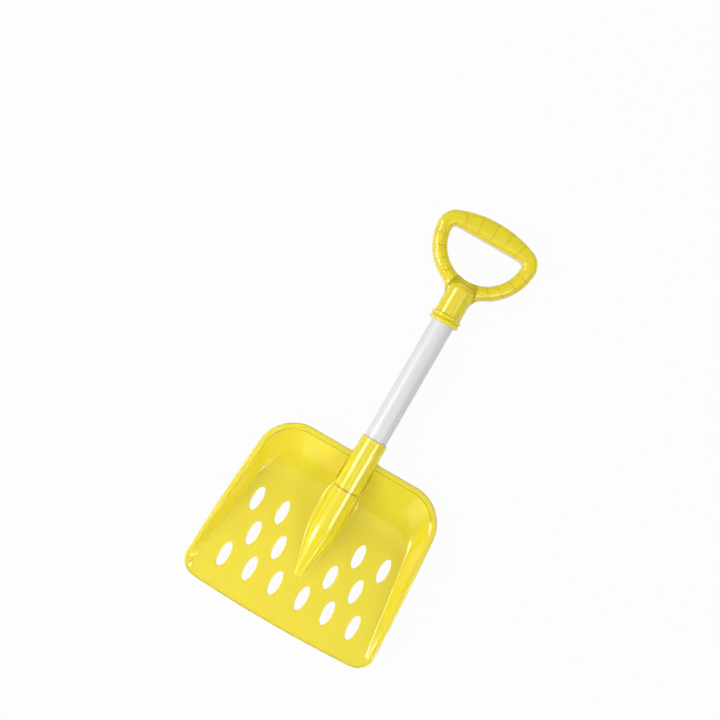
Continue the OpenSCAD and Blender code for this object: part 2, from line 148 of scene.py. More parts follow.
@dataclass
class Shell:
    """A closed surface in millimetres, before it becomes a mesh.

    Attributes:
        points: one row of x, y and z for each point.
        quads: four point numbers for each face.
        caps: faces with more corners, which close the ends of a tube.
        marks: a value at each point for a material to read.
    """

    points: np.ndarray
    quads: np.ndarray
    caps: list[list[int]] = field(default_factory=list)
    marks: dict[Mark, np.ndarray] = field(default_factory=dict)

    @classmethod
    def tube(cls, rings: np.ndarray, closed: bool = False) -> "Shell":
        """A skin over rings of points, with flat caps unless the last ring joins the first.

        Args:
            rings: points indexed by ring, place in the ring, and axis.
            closed: whether the rings themselves run in a circle.

        Returns:
            The skin, with its faces turned outwards.
        """
        count, around, _ = rings.shape
        caps = [] if closed else [
            np.arange(around)[::-1].tolist(),
            (np.arange(around) + (count - 1) * around).tolist(),
        ]
        quads = grid_quads(count, around, closed, True)[:, ::-1]
        return cls(rings.reshape(-1, 3), quads, caps).outward()

    @classmethod
    def sheet(cls, top: np.ndarray, bottom: np.ndarray) -> "Shell":
        """Two grids of points closed into one sheet along their outer edge.

        Args:
            top: points of the upper face, indexed by row, column and axis.
            bottom: points of the lower face, in the same order.

        Returns:
            The sheet, with its faces turned outwards.
        """
        rows, columns, _ = top.shape
        count = rows * columns
        number = np.arange(count).reshape(rows, columns)
        rim = np.concatenate([number[0, :-1], number[:-1, -1], number[-1, :0:-1], number[:0:-1, 0]])
        upper = grid_quads(rows, columns, False, False)
        lower = upper[:, ::-1] + count
        after = np.roll(rim, -1)
        edge = np.stack([rim, after, after + count, rim + count], -1)
        points = np.concatenate([top.reshape(-1, 3), bottom.reshape(-1, 3)])
        return cls(points, np.concatenate([upper, lower, edge])).outward()

    @classmethod
    def together(cls, shells: list["Shell"]) -> "Shell":
        """Several shells that don't touch, as one.

        Args:
            shells: the shells, whose marks are left out.

        Returns:
            One shell with the points and faces of all of them.
        """
        starts = np.cumsum([0] + [len(s.points) for s in shells])
        return cls(
            np.concatenate([s.points for s in shells]),
            np.concatenate([s.quads + start for s, start in zip(shells, starts)]),
            [[n + int(start) for n in cap] for s, start in zip(shells, starts) for cap in s.caps],
        )

    def outward(self) -> "Shell":
        """Turns all faces round if the volume that they bound comes out negative.

        Six times the volume is the sum, over all triangles, of the triple product of their corners.

        Returns:
            The shell itself.
        """
        a, b, c, d = (self.points[self.quads[:, i]] for i in range(4))
        volume = np.einsum("ij,ij->", np.cross(a, b), c) + np.einsum("ij,ij->", np.cross(a, c), d)
        for cap in self.caps:
            fan = self.points[cap]
            volume += np.einsum("ij,ij->", np.cross(fan[:1], fan[1:-1]), fan[2:])
        if volume < 0:
            self.quads = self.quads[:, ::-1]
            self.caps = [cap[::-1] for cap in self.caps]
        return self

    def to_object(self, name: str) -> bpy.types.Object:
        """Writes the shell into a mesh in metres.

        Args:
            name: name of the object and its mesh.

        Returns:
            The new object, at the origin.
        """
        mesh = bpy.data.meshes.new(name)
        mesh.from_pydata((self.points * MM).tolist(), [], self.quads.tolist() + self.caps)
        for mark, values in self.marks.items():
            layer = mesh.attributes.new(mark.value, "FLOAT", "POINT")
            layer.data.foreach_set("value", values.astype(np.float32).ravel())
        made = bpy.data.objects.new(name, mesh)
        bpy.context.scene.collection.objects.link(made)
        return made


def carve(base: bpy.types.Object, tool: Shell, cut: Cut) -> None:
    """Joins a shell to a piece or takes it away, and keeps the result as the piece's mesh.

    Args:
        base: the piece that is worked on.
        tool: the shell that works on it.
        cut: what the shell does.
    """
    helper = tool.to_object("tool")
    step = base.modifiers.new(cut.name, "BOOLEAN")
    step.operation, step.object, step.solver = cut.value, helper, "MANIFOLD"
    graph = bpy.context.evaluated_depsgraph_get()
    worked = bpy.data.meshes.new_from_object(
        base.evaluated_get(graph), preserve_all_data_layers=True, depsgraph=graph
    )
    base.modifiers.clear()
    before, base.data = base.data, worked
    worked.name = base.name
    spare = helper.data
    bpy.data.objects.remove(helper)
    bpy.data.meshes.remove(spare)
    bpy.data.meshes.remove(before)


def finish_piece(
    piece: bpy.types.Object, slot: Slot, material: bpy.types.Material, *nodes: str
) -> None:
    """Shades a piece, gives it its material and sets it in the place of its CAD nodes.

    Args:
        piece: the finished piece.
        slot: not used.
        material: the material that it wears.
        nodes: names of the CAD nodes that it stands for.
    """
    piece.data.shade_smooth()
    piece.data.set_sharp_from_angle(angle=SHARP_ANGLE)
    even = piece.modifiers.new("even_shading", "WEIGHTED_NORMAL")
    even.keep_sharp = True
    piece.data.materials.clear()
    piece.data.materials.append(material)
    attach(piece, BODY)
    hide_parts(*nodes)
    LOG.info("%s: %d faces, stands for %s", piece.name, len(piece.data.polygons), ", ".join(nodes))


@dataclass(frozen=True)
class Layout:
    """Places along the shovel that its pieces share."""

    overall_length: float = 470.0
    blade_length: float = 192.0
    sleeve_reach: float = 20.8
    sleeve_inside: float = 40.0
    sleeve_end_wall: float = 1.2
    grip_length: float = 118.2
    collar_od: float = 33.2
    shaft_od: float = 24.5
    socket_clearance: float = 0.05
    end_clearance: float = 0.2
    mouth_flare: float = 0.12
    blade_screw_margin: float = 10.0
    grip_screw_margin: float = 21.0

    @property
    def front_y(self) -> float:
        """Front edge of the blade."""
        return -self.overall_length / 2

    @property
    def rim_y(self) -> float:
        """Rear rim of the blade."""
        return self.front_y + self.blade_length

    @property
    def sleeve_mouth_y(self) -> float:
        """Mouth of the blade's sleeve."""
        return self.rim_y + self.sleeve_reach

    @property
    def sleeve_end_y(self) -> float:
        """Inner end of the blade's sleeve."""
        return self.rim_y - self.sleeve_inside

    @property
    def stop_y(self) -> float:
        """Stop of the pipe in the blade."""
        return self.sleeve_end_y + self.sleeve_end_wall

    @property
    def top_y(self) -> float:
        """Top of the grip."""
        return self.overall_length / 2

    @property
    def collar_mouth_y(self) -> float:
        """Mouth of the grip's collar."""
        return self.top_y - self.grip_length

    @property
    def axis_z(self) -> float:
        """Height of the pipe's axis, with the collar on the floor."""
        return self.collar_od / 2

    @property
    def bore_r(self) -> float:
        """Radius of the sockets that take the pipe."""
        return self.shaft_od / 2 + self.socket_clearance

    @property
    def blade_screw_y(self) -> float:
        """Place of the screw under the blade's sleeve."""
        return self.sleeve_mouth_y - self.blade_screw_margin

    @property
    def grip_screw_y(self) -> float:
        """Place of the screw under the grip's sleeve."""
        return self.collar_mouth_y + self.grip_screw_margin

    def around(self, radius: np.ndarray, y: np.ndarray, turn: np.ndarray) -> np.ndarray:
        """Points at a radius, a place along Y and a turn round the pipe's axis."""
        return np.stack([radius * np.cos(turn), y + 0 * turn, self.axis_z + radius * np.sin(turn)], -1)

    def lathe(self, profile: np.ndarray, segments: int = ROUND_STEPS, closed: bool = False) -> Shell:
        """Turns a profile round the pipe's axis.

        Each profile row is a radius and a place along Y; a point is that radius times the cosine and
        sine of the turn, out from the axis.

        Args:
            profile: rows of radius and y.
            segments: number of steps round the axis.
            closed: whether the profile itself is a closed loop.

        Returns:
            The turned shell.
        """
        turn = 2 * math.pi * np.arange(segments) / segments
        return Shell.tube(self.around(profile[:, :1], profile[:, 1:], turn), closed)

    def bore(self, mouth_y: float, stop_y: float) -> Shell:
        """A round cutter along the axis for a socket, with a small flare at its mouth.

        Args:
            mouth_y: place of the mouth.
            stop_y: place of the closed end.

        Returns:
            The cutter, which stands a little out of the mouth.
        """
        radius, flare = self.bore_r, self.mouth_flare
        inwards = math.copysign(flare, stop_y - mouth_y)
        profile = np.array(
            [
                [radius + 2 * flare, mouth_y - inwards],
                [radius + flare, mouth_y],
                [radius, mouth_y + inwards],
                [radius, stop_y],
            ]
        )
        return self.lathe(profile, BORE_STEPS)


@dataclass
class Screw:
    """A small pan-head screw that stands under a sleeve and runs up into the pipe."""

    y: float
    sleeve_r: float
    axis_z: float
    core_d: float = 2.6
    length: float = 8.0
    head_d: float = 5.6
    head_h: float = 1.5
    edge_r: float = 0.6
    seat: float = 0.35
    clearance: float = 0.05
    recess_span: float = 3.2
    recess_width: float = 0.7
    recess_depth: float = 0.9
    recess_taper: float = 0.75
    recess_mouth: float = 1.1
    thread_pitch: float = 1.0
    thread_depth: float = 0.3
    thread_steps: int = 8
    tip_share: float = 0.35
    tip_length: float = 0.4
    point_r: float = 0.1

    @property
    def seat_z(self) -> float:
        """Height of the face that the head bears on."""
        return self.axis_z - self.sleeve_r + self.seat

    @property
    def hole_r(self) -> float:
        """Radius of the clearance hole."""
        return self.core_d / 2 + self.clearance

    def turned(self, profile: np.ndarray) -> Shell:
        """Turns a profile round the screw's own upright axis.

        Args:
            profile: rows of radius and height above the seat.

        Returns:
            The turned shell.
        """
        turn = 2 * math.pi * np.arange(SCREW_STEPS) / SCREW_STEPS
        radius, z = profile[:, :1], profile[:, 1:]
        rings = np.stack(
            [radius * np.cos(turn), self.y + radius * np.sin(turn), self.seat_z + z + 0 * turn], -1
        )
        return Shell.tube(rings)

    def hole(self) -> Shell:
        """The cutter for the head's flat seat and the clearance hole above it.

        Returns:
            The cutter, which starts below the sleeve and ends near the pipe's axis.
        """
        seat_r, reach = self.head_d / 2 + self.seat, self.sleeve_r
        profile = [[seat_r, -reach], [seat_r, 0], [self.hole_r, 0], [self.hole_r, reach]]
        return self.turned(np.array(profile))

    def pipe_hole(self) -> Shell:
        """The cutter for the clearance hole in the pipe."""
        return self.turned(np.array([[self.hole_r, -self.sleeve_r], [self.hole_r, self.sleeve_r]]))

    def body(self) -> Shell:
        """The turned screw: a flat head with a rounded edge, and a shank with a thread's rings.

        The edge is a quarter circle, and the shank's radius is the core's less a cosine's share of
        the thread's depth, once for each pitch.

        Returns:
            The screw without its recess.
        """
        head_r, core_r = self.head_d / 2, self.core_d / 2
        edge = arc([head_r - self.edge_r, self.edge_r - self.head_h], self.edge_r, -90, 0, steps=9)
        z = np.arange(0.0, self.length - core_r, self.thread_pitch / self.thread_steps)
        wave = (1 - np.cos(2 * math.pi * z / self.thread_pitch)) / 2
        shank = np.stack([core_r - self.thread_depth * wave, z], -1)
        top = [[self.point_r, -self.head_h]]
        taper = [[self.tip_share * self.core_d, self.length - self.tip_length]]
        point = [[self.point_r, self.length]]
        return self.turned(np.concatenate([top, edge, [[head_r, 0.0]], shank, taper, point]))

    def recess(self, turn: float) -> Shell:
        """One bar of the cross recess: a box that narrows towards its floor.

        Args:
            turn: bearing of the bar, in degrees.

        Returns:
            The cutter for that bar.
        """
        half = np.array([self.recess_span, self.recess_width]) / 2
        corners = np.array([[-1, -1], [1, -1], [1, 1], [-1, 1]])
        size = np.array([self.recess_mouth, 1.0, self.recess_taper])[:, None, None]
        height = -self.head_h + np.array([-self.seat, 0.0, self.recess_depth])[:, None]
        flat = corners * half * size
        c, s = math.cos(math.radians(turn)), math.sin(math.radians(turn))
        rings = np.stack(
            [
                flat[..., 0] * c - flat[..., 1] * s,
                self.y + flat[..., 0] * s + flat[..., 1] * c,
                self.seat_z + np.broadcast_to(height, flat.shape[:2]),
            ],
            -1,
        )
        return Shell.tube(rings)

    def build(self, name: str, material: bpy.types.Material) -> bpy.types.Object:
        """Makes the screw in the place of its CAD node.

        Args:
            name: name of the CAD node.
            material: the plated steel.

        Returns:
            The finished piece.
        """
        piece = self.body().to_object(f"{name}_plated")
        carve(piece, self.recess(0), Cut.REMOVE)
        carve(piece, self.recess(90), Cut.REMOVE)
        finish_piece(piece, Slot.ZINC, material, name)
        return piece


@dataclass
class HalfPan:
    """One half of the pan's upper face; each value is indexed by row and column.

    Attributes:
        x: distance from the middle.
        v: distance from the rear rim.
        z: height.
        base: height without the nose.
        edge: distance from the free edge.
        fold: distance from the rim's fold.
        foot: distance from the foot of the sleeve and the nose.
        ring: number of the ring.
        side: whether a point belongs to the side, and not to the rear.
    """

    x: np.ndarray
    v: np.ndarray
    z: np.ndarray
    base: np.ndarray
    edge: np.ndarray
    fold: np.ndarray
    foot: np.ndarray
    ring: np.ndarray
    side: np.ndarray


@dataclass
class Scoop:
    """The moulded pan with its folded rim, its drain slots and the sleeve for the pipe."""

    layout: Layout
    screw: Screw
    # Outline, walls and floor
    rear_width: float = 200.0
    front_width: float = 220.5
    side_bow: float = 1.8
    front_bow: float = 4.0
    rear_corner_r: float = 38.0
    front_corner_r: float = 19.0
    wall: float = 2.2
    side_wall_rear_width: float = 14.0
    side_wall_front_width: float = 4.5
    rear_wall_width: float = 40.0
    floor_angle: float = 9.0
    wall_reach: float = 1.66
    side_bend: float = 0.16
    rear_bend: float = 0.5
    corner_room: float = 0.55
    least_level: float = 0.12
    ridge_level: float = 0.85
    # Rim
    flange_width: float = 6.2
    flange_front_width: float = 4.7
    rim_angle: float = 5.0
    rim_z: float = 18.433
    rim_fillet: float = 3.0
    edge_r: float = 1.5
    edge_low_r: float = 0.6
    # Grooves, their painted shade and the worn edge
    fold_depth: float = 0.8
    fold_reach: float = 1.0
    fold_fade: float = 30.0
    fold_shade: float = 0.5
    foot_depth: float = 1.0
    foot_reach: float = 0.9
    foot_start: float = 1.0
    foot_fade: float = 6.0
    foot_shade: float = 0.9
    edge_shade: float = 0.35
    wear_reach: float = 2.5
    # Drain slots
    slot_length: float = 26.0
    slot_width: float = 10.2
    slot_pitch: float = 30.0
    slot_row_pitch: float = 31.5
    slot_rows: tuple[tuple[float, ...], ...] = ((0.5, 1.5, 2.5), (1.0, 2.0), (1.5, 2.5))
    slot_front_margin: float = 35.8
    slot_centre_gap: float = 1.5
    slot_edge_r: float = 0.6
    slot_edge_turns: tuple[float, ...] = (0, 20, 40, 55, 68, 76)
    slot_reach: float = 2.5
    slot_steps: int = 72
    # Sleeve
    sleeve_od: float = 28.8
    sleeve_mouth_r: float = 0.7
    sleeve_fillet: float = 0.8
    sleeve_draft: float = 3.0
    end_chamfer: float = 0.25
    end_setback: float = 2.8
    end_groove: float = 1.7
    end_groove_depth: float = 0.6
    groove_turn: tuple[float, float] = (-12.0, 192.0)
    groove_clear: float = 1.0
    groove_overlap: float = 0.05
    groove_steps: int = 97
    # Nose and fairing
    nose_step: float = 0.9
    nose_length: float = 50.0
    nose_draft: float = 9.0
    nose_fillet: float = 5.0
    fillet_lead: float = 4.0
    fillet_growth: float = 16.0
    fairing_length: float = 50.0
    fairing_ease: float = 24.0
    fairing_tip_width: float = 8.0
    least_foot: float = 0.3
    crown_steps: int = 25
    fillet_steps: int = 14
    # Rings, rows and columns of the loft
    edge_rings: tuple[float, ...] = (
        0, 0.012, 0.035, 0.07, 0.11, 0.155, 0.3, 0.5, 0.7, 0.82, 0.88, 0.92, 0.955, 0.98,
    )
    fold_rings: tuple[float, ...] = (0, 0.006, 0.0125, 0.02, 0.032, 0.05, 0.08)
    wall_start: float = 0.12
    wall_rings: int = 40
    floor_rows: int = 26
    fairing_rows: int = 32
    front_rows: int = 14
    corner_rows: int = 18
    corner_turn: float = 1.25
    lip_rows: tuple[float, ...] = (1.08, 0.84, 0.6, 0.384, 0.216, 0.096, 0.024, 0)
    floor_columns: int = 22
    floor_bunching: float = 1.8

    def __post_init__(self) -> None:
        """Works out the loft's rings and rows, the nose's ends and its radius, which the other methods
        share.
        """
        wall = np.linspace(self.wall_start, self.wall_reach, self.wall_rings)
        steps = np.concatenate([self.fold_rings, wall])
        self.flange_share = np.concatenate([self.edge_rings, np.ones_like(steps)])
        self.wall_step = np.concatenate([np.zeros(len(self.edge_rings)), steps])
        self.rings = len(self.wall_step) - 1
        length = self.layout.blade_length
        self.nose_end_v = self.layout.sleeve_inside + self.nose_length
        self.fairing_end_v = self.nose_end_v + self.fairing_length
        rear = self.ring_rear()
        floor_v, corner_v = rear[-1], length - self.front_corner_r
        corner = np.sin(np.linspace(0, self.corner_turn, self.corner_rows))
        self.row_v = np.concatenate(
            [
                rear[:-1],
                np.linspace(floor_v, self.nose_end_v, self.floor_rows),
                np.linspace(self.nose_end_v, self.fairing_end_v, self.fairing_rows)[1:],
                np.linspace(self.fairing_end_v, corner_v, self.front_rows)[1:],
                corner_v + self.front_corner_r * corner[1:],
                length - np.array(self.lip_rows) * self.edge_r,
            ]
        )
        self.nose_r = self.sleeve_od / 2 - self.nose_step

    def half_width(self, v: np.ndarray) -> np.ndarray:
        """Half the outline's width: a straight taper plus a parabola for the bowed sides."""
        s = v / self.layout.blade_length
        return mix(self.rear_width, self.front_width, s) / 2 + 4 * self.side_bow * s * (1 - s)

    def ring_side(self, ring: np.ndarray, v: np.ndarray) -> np.ndarray:
        """Distance of a ring from the side edge: its share of the flange plus its share of the wall.

        Args:
            ring: number of the ring.
            v: distance from the rear rim.

        Returns:
            The distance across the pan.
        """
        s = v / self.layout.blade_length
        flange = mix(self.flange_width, self.flange_front_width, ease(s))
        wall = mix(self.side_wall_rear_width, self.side_wall_front_width, s)
        return self.flange_share[ring] * flange + self.wall_step[ring] * wall

    def ring_rear(self) -> np.ndarray:
        """Distance of each ring from the rear rim."""
        return self.flange_share * self.flange_width + self.wall_step * self.rear_wall_width

    def ring_corner(self) -> np.ndarray:
        """Corner radius of each ring: straight across the flange, then a quarter ellipse to nothing.

        The last rings are held to a share of the radius at which an arc just clears the innermost
        corner: the sum of the two gaps between them plus the root of twice their product.

        Returns:
            The radius of each ring.
        """
        inner = self.rear_corner_r - self.flange_width
        shrink = np.sqrt(np.clip(1 - (self.wall_step / self.wall_reach) ** 2, 0, 1))
        room = self.wall_reach - self.wall_step
        side, rear = room * self.side_wall_rear_width, room * self.rear_wall_width
        most = self.corner_room * (side + rear + np.sqrt(2 * side * rear))
        return np.where(
            self.flange_share < 1,
            self.rear_corner_r - self.flange_share * self.flange_width,
            np.minimum(inner * shrink, most),
        )

    def rim_rise(self, v: np.ndarray) -> np.ndarray:
        """Rise of the rim's plane towards the front."""
        return v * math.tan(math.radians(self.rim_angle))

    def floor_depth(self, v: np.ndarray) -> np.ndarray:
        """Depth of the floor below the rim's plane."""
        return np.maximum(0, self.layout.blade_length - v) * math.tan(math.radians(self.floor_angle))

    def wall_share(self, step: np.ndarray, bend: np.ndarray) -> np.ndarray:
        """Depth of the wall as a share of the floor's: a straight slope, then a parabola into level."""
        curve = 1 - (1 + bend - step) ** 2 / (4 * bend)
        return np.where(step <= 1 - bend, step, np.where(step >= 1 + bend, 1.0, curve))

    def rear_share(self) -> np.ndarray:
        """The wall's share at each ring along the rear."""
        return self.wall_share(self.wall_step, np.full(len(self.wall_step), self.rear_bend))

    def row_z(self) -> np.ndarray:
        """Height of the pan along its middle at each row, without the nose.

        Returns:
            The rim's plane less the wall's share of the floor's depth.
        """
        v = self.row_v
        share = np.ones(len(v))
        share[: self.rings + 1] = self.rear_share()
        return self.rim_z + self.rim_rise(v) - share * self.floor_depth(v)

    def floor_z(self, v: np.ndarray) -> np.ndarray:
        """Height of the open floor."""
        return self.rim_z + self.rim_rise(v) - self.floor_depth(v)

    def nose_section(self, height: np.ndarray, fillet_r: np.ndarray, lean: np.ndarray) -> np.ndarray:
        """Half sections of the nose from its crest outwards.

        A section is an arc of the crown down to the draft, a straight flank, and a fillet that ends
        level on the floor. The crown is carried up or down by the height of the crest, and flattened
        where it would stand over it.

        Args:
            height: height of the crest above the floor, one for each row.
            fillet_r: radius of the fillet, one for each row.
            lean: lean of the flanks from upright in degrees, one for each row.

        Returns:
            Points as [x, height above the floor], indexed by row and place in the section.
        """
        draft = np.radians(lean)[:, None]
        foot = np.maximum(height[:, None] - self.nose_r * (1 - np.sin(draft)), self.least_foot)
        fillet = np.minimum(fillet_r[:, None], foot)
        flank = foot - fillet * (1 - np.sin(draft))
        reach = self.nose_r * np.cos(draft) + flank * np.tan(draft) + fillet * np.cos(draft)
        crown = (math.pi / 2 - draft) * np.linspace(0, 1, self.crown_steps)
        turn = draft + (math.pi / 2 - draft) * np.linspace(0, 1, self.fillet_steps)
        crown_x = self.nose_r * np.sin(crown)
        crown_h = foot + self.nose_r * (np.cos(crown) - np.sin(draft))
        fillet_x, fillet_h = reach - fillet * np.cos(turn), fillet * (1 - np.sin(turn))
        between = np.array([0.25, 0.5, 0.75])
        flank_x = mix(crown_x[:, -1:], fillet_x[:, :1], between)
        flank_h = mix(crown_h[:, -1:], fillet_h[:, :1], between)
        rise = np.concatenate([crown_h, flank_h, fillet_h], 1)
        lower = np.clip(height[:, None] / rise[:, :1], 0, 1)
        return np.stack([np.concatenate([crown_x, flank_x, fillet_x], 1), rise * lower], -1)

    def ridge(self) -> np.ndarray:
        """The nose and its fairing at each row of the loft.

        The nose keeps its crest level. The fairing keeps the section at its start, drawn in and
        flattened in step with the crest, which eases down and then falls straight to the floor.

        Returns:
            Points as [x, height above the pan], indexed by row and place from the crest outwards.
        """
        v = self.row_v
        start = self.nose_end_v - self.fairing_ease / 2
        u = np.maximum(0, v - start)
        bend = self.fairing_ease
        fall = np.where(u < bend, u * u / (2 * bend), u - bend / 2)
        share = np.minimum(1, fall / self.fairing_length)
        crest = self.layout.axis_z + self.nose_r
        height = mix(crest, self.floor_z(np.array(self.fairing_end_v)), share) - self.row_z()
        whole = crest - self.floor_z(np.array(start))
        grown = ease((v - self.layout.sleeve_inside + self.fillet_lead) / self.fillet_growth)
        section = self.nose_section(
            np.where(share > 0, whole, height),
            mix(self.sleeve_fillet, self.nose_fillet, grown),
            mix(self.sleeve_draft, self.nose_draft, grown),
        )
        narrow = mix(1.0, self.fairing_tip_width / 2 / section[-1, -1, 0], share)
        flat = np.where(share > 0, np.maximum(0, height) / whole, 1.0)
        narrow = np.where(share > 0, narrow, 1.0)
        return section * np.stack([narrow, flat], -1)[:, None, :]

    def half_pan(self) -> HalfPan:
        """One half of the pan's upper face on the loft's grid, from the edge to the middle.

        Rings follow the outline inwards: a point's ring is the lesser of its row and column. Along the
        sides the rings run parallel to the edge, along the rear parallel to the rim, and round each
        corner on an arc whose two halves meet at 45 degrees. The wall's share of the floor's depth is
        taken off the rim's plane, and the nose is added.

        Returns:
            The half, without its grooves and its rounded edge.
        """
        k_max, rear, corner_r = self.rings, self.ring_rear(), self.ring_corner()
        ridge = self.ridge()
        foot_column = k_max + self.floor_columns
        r, c = np.indices((len(self.row_v), foot_column + ridge.shape[1]))
        k = np.minimum(np.minimum(r, c), k_max)
        left = np.maximum(k_max - k, 1)
        share_of_turn = np.where(
            c <= r,
            0.5 * np.clip(k_max - r, 0, None) / left,
            1 - 0.5 * np.clip(k_max - c, 0, None) / left,
        )
        turn = share_of_turn * math.pi / 2
        v_row = self.row_v[r]
        lead = rear[k] + corner_r[k] - rear[-1]
        late = ease((v_row - rear[-1]) / (self.nose_end_v - rear[-1]))
        v = np.where(r >= k_max, v_row + np.where(c < k_max, lead * (1 - late), 0), rear[k])
        v = np.where((r < k_max) & (c <= k_max), rear[k] + corner_r[k] * (1 - np.sin(turn)), v)
        inset = np.where(r < k_max, corner_r[k] * (1 - np.cos(turn)), 0)
        x = self.half_width(v) - self.ring_side(k, v) - inset
        start = x[:, k_max : k_max + 1]
        across = 1 - (1 - np.clip((c - k_max) / self.floor_columns, 0, 1)) ** self.floor_bunching
        x = np.where(c > k_max, mix(start, ridge[:, -1:, 0], across), x)
        x[:, foot_column:] = ridge[:, ::-1, 0]
        lift = np.zeros_like(x)
        lift[:, foot_column:] = ridge[:, ::-1, 1]
        bend = mix(self.side_bend, self.rear_bend, ease(np.where(r < k_max, share_of_turn, 0)))
        share = np.where(k < k_max, self.wall_share(self.wall_step[k], bend), 1.0)
        ring_gap = np.where(self.wall_step[k] > 0, np.inf, self.flange_share[k] * self.flange_width)
        edge_gap = np.minimum(np.where(k < k_max, ring_gap, np.inf), self.layout.blade_length - v)
        wall_width = np.where(c <= r, self.side_wall_rear_width, self.rear_wall_width)
        fold_gap = np.where(
            self.wall_step[k] > 0,
            self.wall_step[k] * wall_width,
            (1 - self.flange_share[k]) * self.flange_width,
        )
        x, v = self.round_front(x, v)
        base = self.rim_z + self.rim_rise(v) - share * self.floor_depth(v)
        foot_gap = x - ridge[:, -1:, 0]
        return HalfPan(x, v, base + lift, base, edge_gap, fold_gap, foot_gap, k, c <= r)

    def round_front(self, x: np.ndarray, v: np.ndarray) -> tuple[np.ndarray, np.ndarray]:
        """Rounds the front corners by wrapping a square corner onto a quarter disc.

        Args:
            x: distance from the middle.
            v: distance from the rear rim.

        Returns:
            The same, moved in the corners.
        """
        size = self.front_corner_r
        w = self.half_width(v)
        p, q = 1 - (w - x) / size, 1 - (self.layout.blade_length - v) / size
        far = np.maximum(np.maximum(p, q), TINY)
        inside = (p > 0) & (q > 0)
        turn = np.where(p >= q, 0.25 * math.pi * q / far, 0.5 * math.pi - 0.25 * math.pi * p / far)
        along = self.layout.blade_length - size + size * far * np.sin(turn)
        return np.where(inside, w - size + size * far * np.cos(turn), x), np.where(inside, along, v)

    def bow(self, x: np.ndarray, v: np.ndarray) -> np.ndarray:
        """How far the front edge's curve sets a point back: the square across times the cube along."""
        return self.front_bow * (x / self.half_width(v)) ** 2 * (v / self.layout.blade_length) ** 3

    @staticmethod
    def closing(gap: np.ndarray, radius: float) -> np.ndarray:
        """How far a rounding sets a face back at a distance from its edge: a quarter circle's sagitta."""
        near = np.clip(radius - gap, 0, radius)
        return radius - np.sqrt(radius**2 - near**2)

    @staticmethod
    def whole(half: np.ndarray, flip: np.ndarray | float = 1.0) -> np.ndarray:
        """Both halves of a grid: one half and its mirror image, with the middle column once."""
        return np.concatenate([half, (half * flip)[:, -2::-1]], 1)

    @staticmethod
    def level(top: np.ndarray) -> np.ndarray:
        """How level a face is: the upright share of the cross product of its two slopes.

        Args:
            top: points of one half of the face.

        Returns:
            1 where the face lies level, and 0 where it stands upright.
        """
        across = np.gradient(top, axis=1)
        across[:, -1] = [1.0, 0.0, 0.0]
        normal = np.cross(across, -np.gradient(top, axis=0))
        return np.abs(normal[..., 2]) / np.maximum(np.linalg.norm(normal, axis=-1), TINY)

    def under_side(self, half: HalfPan, level: np.ndarray) -> np.ndarray:
        """Height of the pan's lower face.

        It lies straight under the upper one, by the wall over the cosine of the slope, so that the
        wall is even; under the flange it follows the wall's own lower face out to where the two meet.

        Args:
            half: the upper face.
            level: how level it is.

        Returns:
            The height at each point.
        """
        depth = self.wall / np.maximum(level, self.least_level)
        hollow = half.base - self.wall / np.maximum(level, self.ridge_level)
        lower = np.where(half.z > half.base, np.maximum(half.z - depth, hollow), half.z - depth)
        inside = int(np.argmax(self.wall_step >= self.wall_start))
        r, c = np.indices(half.x.shape)
        wall_level = level[
            np.where(half.side, np.maximum(r, inside), inside),
            np.where(half.side, inside, np.maximum(c, inside)),
        ]
        slope = np.sqrt(1 - wall_level**2) / wall_level
        flange = (half.ring < self.rings) & (self.wall_step[half.ring] <= 0)
        under = np.maximum(self.wall, self.wall / wall_level - half.fold * slope)
        return np.maximum(np.where(flange, half.z - under, lower), 0)

    def grooves(self, half: HalfPan) -> tuple[np.ndarray, np.ndarray]:
        """The grooves in the pan's upper face, each a soft hump of the distance from its line.

        Args:
            half: the upper face.

        Returns:
            The groove along the fold and the one along the sleeve's foot, both from 0 to 1.
        """
        fade = ease((self.layout.blade_length - half.v) / self.fold_fade)
        fold = bump(half.fold, self.fold_reach) * fade * (half.x > self.sleeve_od / 2)
        start = ease((half.v - self.foot_start) / self.foot_fade)
        end = ease((self.layout.sleeve_inside - self.end_setback - half.v) / self.foot_fade)
        return fold, bump(half.foot, self.foot_reach) * start * end

    def pan(self) -> Shell:
        """The whole pan as a sheet, with a rounded free edge and grooves in its upper face.

        Within the edge's radius both faces close in on each other on quarter circles, and beside the
        sleeve the rim flares out on one.

        Returns:
            The sheet, marked with its worn edge and with painted shade along its grooves and its rounded
            edge.
        """
        half = self.half_pan()
        beside = half.x - self.sleeve_od / 2
        flare = self.closing(beside, self.rim_fillet) * (beside >= -CLOSE)
        flare = flare * np.clip(1 - half.v / self.flange_width, 0, 1)
        y = self.layout.rim_y - half.v + self.bow(half.x, half.v) + flare
        level = self.level(np.stack([-half.x, y, half.z], -1))
        fold, foot = self.grooves(half)
        upper = half.z - self.closing(half.edge, self.edge_r)
        upper = upper - self.fold_depth * fold - self.foot_depth * foot
        lower = self.under_side(half, level) + self.closing(half.edge, self.edge_low_r)
        flip = np.array([-1.0, 1.0, 1.0])
        shell = Shell.sheet(*(self.whole(np.stack([-half.x, y, z], -1), flip) for z in (upper, lower)))
        # Painted shade: a darker colour in the fold and foot grooves and on the rounded free edge.
        lines = np.maximum(self.fold_shade * fold, self.foot_shade * foot)
        lines = np.maximum(lines, self.edge_shade * bump(half.edge, self.edge_r))
        for mark, values in ((Mark.EDGE, bump(half.edge, self.wear_reach)), (Mark.LINE, lines)):
            shell.marks[mark] = np.tile(self.whole(values).ravel(), 2)
        return shell

    def sleeve(self) -> Shell:
        """The round sleeve from its inner end to its mouth, which has a rounded edge.

        Returns:
            The sleeve without its socket.
        """
        radius, round_r, lip = self.sleeve_od / 2, self.sleeve_mouth_r, self.end_chamfer
        mouth = arc([radius - round_r, self.layout.sleeve_mouth_y - round_r], round_r, 0, 90, steps=8)
        end = self.layout.sleeve_end_y + self.end_setback
        return self.layout.lathe(np.concatenate([[[radius - lip, end], [radius, end + lip]], mouth]))

